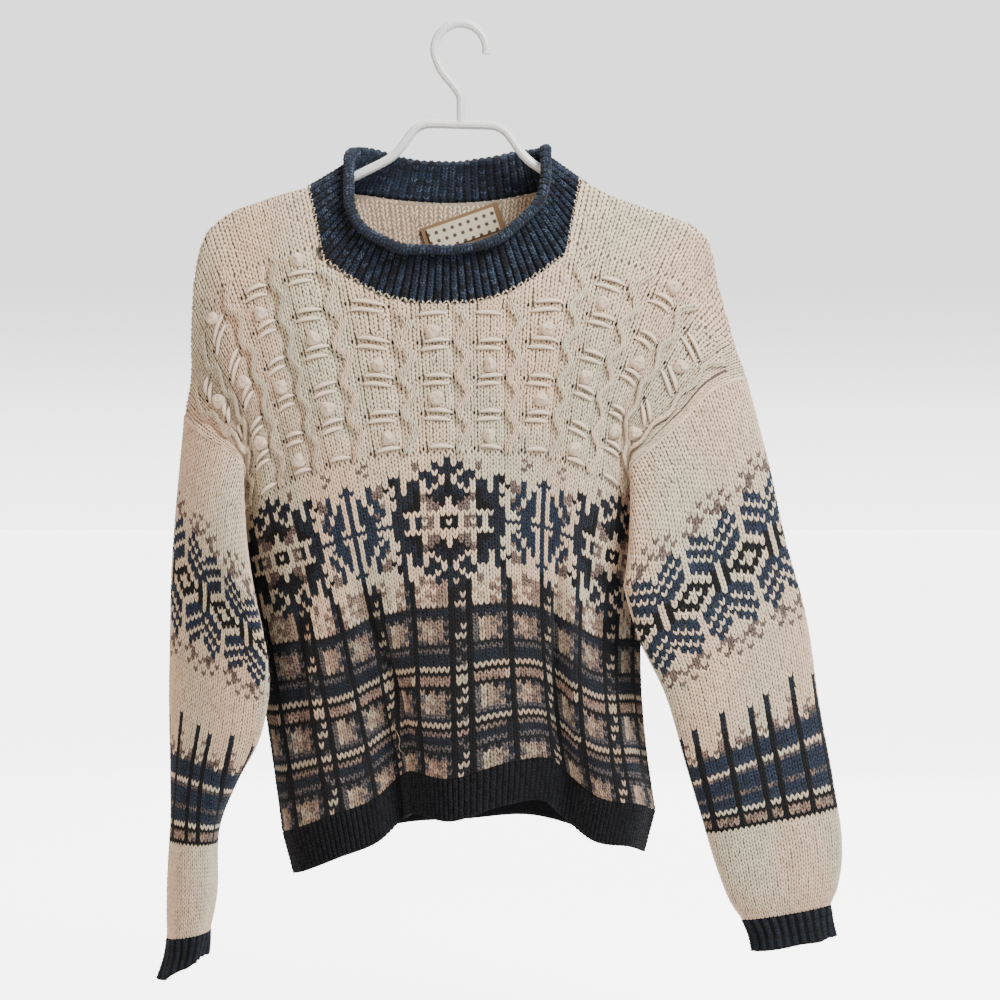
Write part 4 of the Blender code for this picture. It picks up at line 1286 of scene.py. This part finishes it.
print("body panels")
for isFront in (True, False):
    name = "front" if isFront else "back"
    wall = panelWall(isFront)
    extras = [panelStitches(isFront)] + yokeCables(isFront) + yokeTrims(isFront)
    if not isFront:
        spots = [(i + 0.5, j) for j in range(100, 128) for i in range(-14, 18)
                 if j + 1 < topEdge(False, np.array([i + 0.5]))[0, 0]]
        extras.append(knit("back_inside_stitches", insideSheet(), spots, ["c"] * len(spots),
                           stitchYarn, 25, scaleH=0.9))
    settle([wall] + extras)
    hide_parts(name)


def ringWall(name, sheet, columns, rows, letterOf, perTurn, seed, dark, rowStep=1.0):
    w = np.linspace(-0.5, 0.5, columns + 1)[:-1]
    v = np.arange(rows + 1) * rowStep
    points, normals = sampleSheet(sheet, np.broadcast_to(w[None], (rows + 1, columns)),
                                  np.broadcast_to(v[:, None], (rows + 1, columns)))

    def describe(j, i):
        stitch = (w[i] + 0.5 / columns) * float(perTurn(v[j] + 0.5))
        return letterOf(stitch, int(v[j])), (stitch, v[j])

    return gridWall(name, points, normals, sheet["flip"], describe, seed, dark, True)


print("sleeves")
for side in ("left", "right"):
    plan = sleeveKnit[side]
    size = turnSize(plan)
    sheet = sheets["sleeve_" + side]
    wall = ringWall("sleeve_" + side + "_knit_wall", sheet, 64, plan["rows"] // 2,
                    lambda stitch, row: sleeveLetter(plan, stitch, row), size, 5,
                    wallShade["cloth"], rowStep=2.0)
    spots, letters = [], []
    for row in range(plan["rows"]):
        half = int(round(float(size(row + 0.5)) / 2))
        for stitch in range(-half, half):
            spots.append((stitch + 0.5, row))
            letters.append(sleeveLetter(plan, stitch + 0.5, row))
    stitches = knit("sleeve_" + side + "_stitches", sheet, spots, letters, stitchYarn, 13,
                    perTurn=size)
    # the sewn ridge that closes the armhole
    way = np.linspace(-0.4999, 0.4999, 120)
    points, normals = sampleSheet(sheet, way, np.full(120, plan["rows"] + 0.1))
    ridge = tubePiece("sleeve_" + side + "_seam", [(points - normals * 0.0008, normals)],
                      tubeRadius["seam"], 8, 0.9, "c", 27)
    settle((wall, stitches, ridge))
    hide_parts("sleeve_" + side)

rib = {"rows": 10, "rise": 0.0006, "width": 0.95}


def hemSheet(front):
    seam = panelPoint(front, halfStitches, np.zeros(len(halfStitches)))
    rows = []
    for step in range(rib["rows"] * 2 + 1):
        share = 1 - step / (rib["rows"] * 2)
        row = seam.copy()
        row[:, 0] -= cloth["hemPull"] * share * (row[:, 0] - 0.008)
        row[:, 1] *= 1 - 0.5 * cloth["hemPull"] * share
        row[:, 2] -= cloth["hemDepth"] * share
        rows.append(row)
    grid = np.array(rows)
    normals = gridNormals(grid, False) * (1 if front else -1)
    wave = np.cos(2 * math.pi * (halfStitches - 0.5))
    grid = grid + normals * (wave * rib["rise"])[None, :, None]
    return panelGrid(grid, normals, not front)


def hemLetter(stitch, row):
    return "h" if (stitch * 3 + row * 5) % 7 else "k"


print("hem, cuffs, collar")
for isFront in (True, False):
    name = "hem_front" if isFront else "hem_back"
    sheet = hemSheet(isFront)
    points, normals = sheet["points"], sheet["normals"]
    wall = gridWall(name + "_wall", points[::2], normals[::2], not isFront,
                    lambda j, i: ("h", (i / 2, j)), 6, wallShade["rib"])
    spots = [(i + 0.5, j) for i in wales for j in range(rib["rows"])]
    letters = [hemLetter(i, j) for i in wales for j in range(rib["rows"])]
    stitches = knit(name + "_ribs", sheet, spots, letters, ribYarn, 14, width=rib["width"],
                    scaleU=0.72, scaleH=1.2)
    settle((wall, stitches))
    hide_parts(name)

cuffPlan = {"stitches": 52, "rows": 9, "rise": 0.0007}


def cuffRelief(w, v):
    return cuffPlan["rise"] * np.cos(2 * math.pi * w * cuffPlan["stitches"] / 2) + 0 * v


cuffTurn = steadyTurn(cuffPlan["stitches"])
for side in ("left", "right"):
    name = "cuff_" + side
    sheet = ringSheet(cuffRings(side == "left"), 160, cuffPlan["rows"], cuffRelief)
    wall = ringWall(name + "_wall", sheet, 104, cuffPlan["rows"],
                    lambda stitch, row: "n", cuffTurn, 7, wallShade["rib"])
    spots = [(2 * i, j) for i in range(-13, 13) for j in range(cuffPlan["rows"])]
    letters = ["n" if (i * 3 + j) % 3 else "h" for i in range(-13, 13)
               for j in range(cuffPlan["rows"])]
    stitches = knit(name + "_ribs", sheet, spots, letters, ribYarn, 15, width=1.5,
                    perTurn=cuffTurn)
    settle((wall, stitches))
    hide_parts(name)

collarPlan = {"ribs": 86, "perRib": 4, "bandRows": 11, "rollRows": 3, "rise": 0.0015,
              "wander": 0.0034}


def neckLoop():
    front = cloth["neckLeft"], cloth["neckRight"]
    down = panelPoint(True, np.full(17, front[0]), np.linspace(130, 114, 17))
    across = panelPoint(True, np.linspace(-12.999, 16.999, 61), np.full(61, 200.0))
    across[0], across[-1] = down[-1], across[-1]
    rise = panelPoint(True, np.full(17, front[1]), np.linspace(114, 130, 17))
    back = panelPoint(False, np.linspace(17, -13, 61), np.full(61, 200.0))
    loop = np.concatenate([down, across[1:-1], rise, back[1:]])
    frontCount = len(down) + 59 + len(rise) - 1
    return loop, frontCount


def collarSheet():
    loop, frontCount = neckLoop()
    steps = lengthAlong(loop)
    frontWay = steps[frontCount]
    stations = collarPlan["ribs"] * collarPlan["perRib"]
    at = np.linspace(0, steps[-1], stations + 1)
    loop = pointsAt(at, steps, loop)
    place = np.where(at <= frontWay, 3 + 2 * at / frontWay,
                     1 + 2 * (at - frontWay) / (steps[-1] - frontWay))
    crest = tableCurve(collarCrest, np.where(place > 4, place - 4, place))
    rise = crest - loop
    rise /= np.linalg.norm(rise, axis=1)[:, None]
    ring = crest[:-1]
    tangent = np.roll(ring, -1, axis=0) - np.roll(ring, 1, axis=0)
    tangent = np.concatenate([tangent, tangent[:1]])
    out = np.cross(tangent, rise)
    out /= np.linalg.norm(out, axis=1)[:, None]
    for _ in range(60):
        ring = out[:-1]
        ring = ring + 0.5 * (np.roll(ring, 1, axis=0) + np.roll(ring, -1, axis=0))
        out = np.concatenate([ring, ring[:1]])
        out = out - rise * (out * rise).sum(axis=1)[:, None]
        out /= np.linalg.norm(out, axis=1)[:, None]
    top = crest - rise * (cloth["rollRadius"] + cloth["wall"])
    rows = []
    for step in range(collarPlan["bandRows"] * 2 + 1):
        share = step / (collarPlan["bandRows"] * 2)
        rows.append(loop * (1 - share) + top * share)
    rolls = collarPlan["rollRows"] * 2
    for step in range(1, rolls + 1):
        angle = math.radians(cloth["rollTurn"]) * step / rolls
        rows.append(top + cloth["rollRadius"] * (out * (1 - math.cos(angle))
                                                 + rise * math.sin(angle)))
    grid = np.array(rows)
    # the rolled edge wanders a little, most at the front
    sway = np.sin(place * 9.5 + 0.8) * 0.6 + np.sin(place * 21 + 2.0) * 0.4
    front = np.clip(np.cos((place - 4) * math.pi / 2), 0, 1) * 0.8 + 0.2
    sway = sway * front * collarPlan["wander"]
    sway[-1] = sway[0]
    lift = np.clip((np.arange(len(grid)) / (len(grid) - 1) - 0.35) / 0.65, 0, 1) ** 1.5
    grid[..., 2] += lift[:, None] * sway[None, :]
    normals = gridNormals(grid, True)
    phase = np.arange(grid.shape[1]) / collarPlan["perRib"]
    fade = np.concatenate([np.linspace(1, 0.55, collarPlan["bandRows"] * 2 + 1),
                           np.linspace(0.5, 0.15, rolls)])
    wave = np.cos(2 * math.pi * phase)
    grid = grid + normals * (wave[None] * fade[:, None] * collarPlan["rise"])[..., None]
    return ringedGrid(grid, normals, False)


collarKnit = collarSheet()
collarTurn = steadyTurn(collarPlan["ribs"])
collarRows = collarPlan["bandRows"] + collarPlan["rollRows"]
collarWall = ringWall("collar_wall", collarKnit, collarPlan["ribs"] * collarPlan["perRib"],
                      collarRows, lambda stitch, row: "d", collarTurn, 8, wallShade["collar"])
half = collarPlan["ribs"] // 2
spots = [(i, j) for i in range(-half, half) for j in range(collarRows)]
mixed = np.random.default_rng(31).choice(list("dnah"), (2, 2 * half, collarRows),
                                         p=(0.45, 0.25, 0.2, 0.1))
collarRibs = knit("collar_ribs", collarKnit, spots, mixed[0].ravel(), ribYarn, 16, width=1.0,
                  scaleU=0.8, scaleH=1.3, perTurn=collarTurn)
innerKnit = ringedGrid(collarKnit["points"] - collarKnit["normals"] * wallDepth["inner"],
                       -collarKnit["normals"], False)
spots = [(i + 0.5, j) for i in range(-half, half) for j in range(1, collarRows)]
collarInner = knit("collar_inner", innerKnit, spots, mixed[1, :, 1:].ravel(), ribYarn, 18,
                   width=1.0, scaleU=0.95, scaleH=1.3, perTurn=collarTurn)
# the cream loops picked up along the seam
picot = knit("collar_picot", collarKnit, [(i + 0.5, -0.15) for i in range(-half, half)],
             ["c"] * (2 * half), stitchYarn, 17, width=0.85, scaleH=1.6, perTurn=collarTurn)
settle((collarWall, collarRibs, collarInner, picot))
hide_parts("collar")

# loose ends: sheet, stitches and courses along each thread, and its letter
looseEnds = (
    ("front", ((-14.2, 11.5), (-13.2, 9.8), (-12.6, 8.0), (-12.9, 6.0), (-12.0, 4.6)), "b"),
    ("sleeve_right", ((11.0, 11.5), (11.8, 10.6), (11.9, 9.2), (11.2, 8.4)), "c"),
    ("sleeve_right", ((11.4, 12.6), (11.9, 12.2), (12.6, 12.5), (12.9, 13.1)), "z"),
)
for number, (owner, path, letter) in enumerate(looseEnds):
    path = through(np.arange(len(path)), path, np.linspace(0, len(path) - 1, 16))
    across = path[:, 0]
    if owner != "front":
        across = across / turnSize(sleeveKnit["right"])(path[:, 1])
    points, normals = sampleSheet(sheets[owner], across, path[:, 1])
    curl = 0.0012 + 0.0012 * np.sin(np.linspace(0, math.pi, 16))
    thread = tubePiece("loose_end_%d" % (number + 1), [(points + normals * curl[:, None], normals)],
                       tubeRadius["looseEnd"], 6, 1.0, letter, 30 + number)
    settle([thread])

hangerFinish = {"colour": (0.86, 0.87, 0.88), "rough": 0.34}


def coatedPlastic():
    material, tree, shader = plainMaterial("coatedPlastic", hangerFinish["rough"])
    coordinates = tree.nodes.new("ShaderNodeTexCoord")
    noise = noiseNode(tree, coordinates, 60, 5)
    fine = noiseNode(tree, coordinates, 900)
    light = tuple(toLinear(hangerFinish["colour"])) + (1,)
    dull = tuple(toLinear(np.array(hangerFinish["colour"]) * 0.93)) + (1,)
    colour = mixColour(tree, noise, light, dull)
    link(tree, colour, shader.inputs["Base Color"])
    rough = mapRange(tree, noise, {"To Min": 0.28, "To Max": 0.46})
    link(tree, rough.outputs[0], shader.inputs["Roughness"])
    bumpInto(tree, shader, fine, 0.15, 0.0002)
    return material


labelFinish = {
    "tape": ((0.50, 0.39, 0.27), (0.42, 0.32, 0.22)),
    "face": ((0.84, 0.80, 0.70), (0.33, 0.27, 0.22)),
    "tilt": 19,
}


def wovenLabel(name, ground, mark, bordered):
    material, tree, shader = plainMaterial(name, 0.8)
    coordinates = tree.nodes.new("ShaderNodeTexCoord")
    turned = tree.nodes.new("ShaderNodeMapping")
    turned.inputs["Rotation"].default_value = (0, math.radians(labelFinish["tilt"]), 0)
    link(tree, coordinates.outputs["Object"], turned.inputs["Vector"])
    parts = tree.nodes.new("ShaderNodeSeparateXYZ")
    link(tree, turned.outputs[0], parts.inputs[0])
    threads = mathNode(tree, "SINE", mathNode(tree, "MULTIPLY", parts.outputs[0], 9000))
    picks = mathNode(tree, "SINE", mathNode(tree, "MULTIPLY", parts.outputs[2], 9000))
    weave = mathNode(tree, "MULTIPLY", threads, picks)
    share = mathNode(tree, "ADD", mathNode(tree, "MULTIPLY", weave, 0.25), 0.25)
    light = tuple(toLinear(ground)) + (1,)
    dark = tuple(toLinear(np.array(ground) * 0.86)) + (1,)
    colour = mixColour(tree, share, light, dark)
    if bordered:
        # a plain row of small woven lozenges
        zig, zag = (mathNode(tree, "ABSOLUTE", mathNode(
            tree, "SINE", mathNode(tree, "MULTIPLY", parts.outputs[axis], 420))) for axis in (0, 2))
        lozenge = mathNode(tree, "GREATER_THAN", mathNode(tree, "ADD", zig, zag), 1.74)
        colour = mixColour(tree, lozenge, colour, tuple(toLinear(mark)) + (1,))
    link(tree, colour, shader.inputs["Base Color"])
    bumpInto(tree, shader, weave, 0.4, 0.0002)
    return material


print("label and hanger")
finishes = {
    "hanger": coatedPlastic(),
    "label_backing": wovenLabel("labelTape", *labelFinish["tape"], False),
    "label_face": wovenLabel("labelWeave", *labelFinish["face"], True),
}
for node, material in finishes.items():
    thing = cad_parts[node]
    thing = thing if hasattr(thing, "material_slots") else bpy.data.objects[node]
    for slot in thing.material_slots:
        slot.material = material

studio = {
    "floor": -0.92, "floorTone": (0.95, 0.95, 0.955), "sky": (0.90, 0.905, 0.915),
    "skyPower": 0.30, "seenTop": 2.5, "seenLow": 5.4, "floorSeen": 4.8, "reach": 40,
    "lens": 90, "distance": 2.2, "aim": (0.0348, 0.0, -0.4154),
}
# name, place, size, power, colour
softLights = (
    ("keyLeft", (-1.9, -1.5, 0.5), 0.9, 22, (1.0, 0.66, 0.40)),
    ("fillRight", (0.95, -1.0, 0.95), 0.8, 80, (1.0, 0.98, 0.955)),
    ("topSoft", (0.1, 0.4, 1.6), 1.4, 34, (1.0, 0.98, 0.96)),
    ("backSoft", (0.2, 2.2, 0.2), 1.6, 26, (1.0, 1.0, 1.0)),
)


def areaLight(name, place, size, power, colour):
    light = bpy.data.lights.new(name, "AREA")
    light.size = size
    light.energy = power
    light.color = colour
    thing = newObject(name, light)
    thing.location = place
    away = thing.location - type(thing.location)(studio["aim"])
    thing.rotation_euler = away.to_track_quat("Z", "Y").to_euler()


for lamp in softLights:
    areaLight(*lamp)
sun = bpy.data.lights.new("overhead", "SUN")
sun.energy = 0.5
sun.angle = 0.6
newObject("overhead", sun).rotation_euler = (0.35, -0.25, 0)

world = bpy.data.worlds.new("studio")
bpy.context.scene.world = world
world.use_nodes = True
backdrop = world.node_tree.nodes["Background"]
backdrop.inputs[0].default_value = (*studio["sky"], 1)
backdrop.inputs[1].default_value = studio["skyPower"]
# what the lens sees behind the sweater is paler than what lights it
worldTree = world.node_tree
seen = worldTree.nodes.new("ShaderNodeBackground")
aim = worldTree.nodes.new("ShaderNodeTexCoord")
height = worldTree.nodes.new("ShaderNodeSeparateXYZ")
link(worldTree, aim.outputs["Generated"], height.inputs[0])
fadeUp = mapRange(worldTree, height.outputs[2], {
    "From Min": -0.01, "From Max": 0.09, "To Min": studio["seenLow"], "To Max": studio["seenTop"]})
fadeUp.interpolation_type = "SMOOTHSTEP"
link(worldTree, fadeUp.outputs[0], seen.inputs[1])
chooser = worldTree.nodes.new("ShaderNodeMixShader")
ray = worldTree.nodes.new("ShaderNodeLightPath")
link(worldTree, ray.outputs["Is Camera Ray"], chooser.inputs[0])
link(worldTree, backdrop.outputs[0], chooser.inputs[1])
link(worldTree, seen.outputs[0], chooser.inputs[2])
link(worldTree, chooser.outputs[0], worldTree.nodes["World Output"].inputs[0])

floorMaterial, floorTree, floorShader = plainMaterial("paleFloor", 0.9)
setInputs(floorShader, {"Base Color": (*studio["floorTone"], 1), "Specular IOR Level": 0.0,
                        "Emission Color": (1, 1, 1, 1)})
floorRay = floorTree.nodes.new("ShaderNodeLightPath")
floorGlow = mathNode(floorTree, "MULTIPLY", floorRay.outputs["Is Camera Ray"],
                     studio["floorSeen"])
link(floorTree, floorGlow, floorShader.inputs["Emission Strength"])
reach = studio["reach"]
corners = ((-reach, -reach), (reach, -reach), (reach, reach), (-reach, reach))
floor = newMesh("floor", [(x, y, studio["floor"]) for x, y in corners], [(0, 1, 2, 3)],
                floorMaterial)

camera = bpy.data.cameras.new("camera")
camera.lens = studio["lens"]
camera.sensor_width = 36
camera.clip_start = 0.01
camera.clip_end = 200
cameraObject = newObject("camera", camera)
aimX, aimY, aimZ = studio["aim"]
cameraObject.location = (aimX, aimY - studio["distance"], aimZ)
cameraObject.rotation_euler = (math.pi / 2, 0, 0)
bpy.context.scene.camera = cameraObject

print("done")
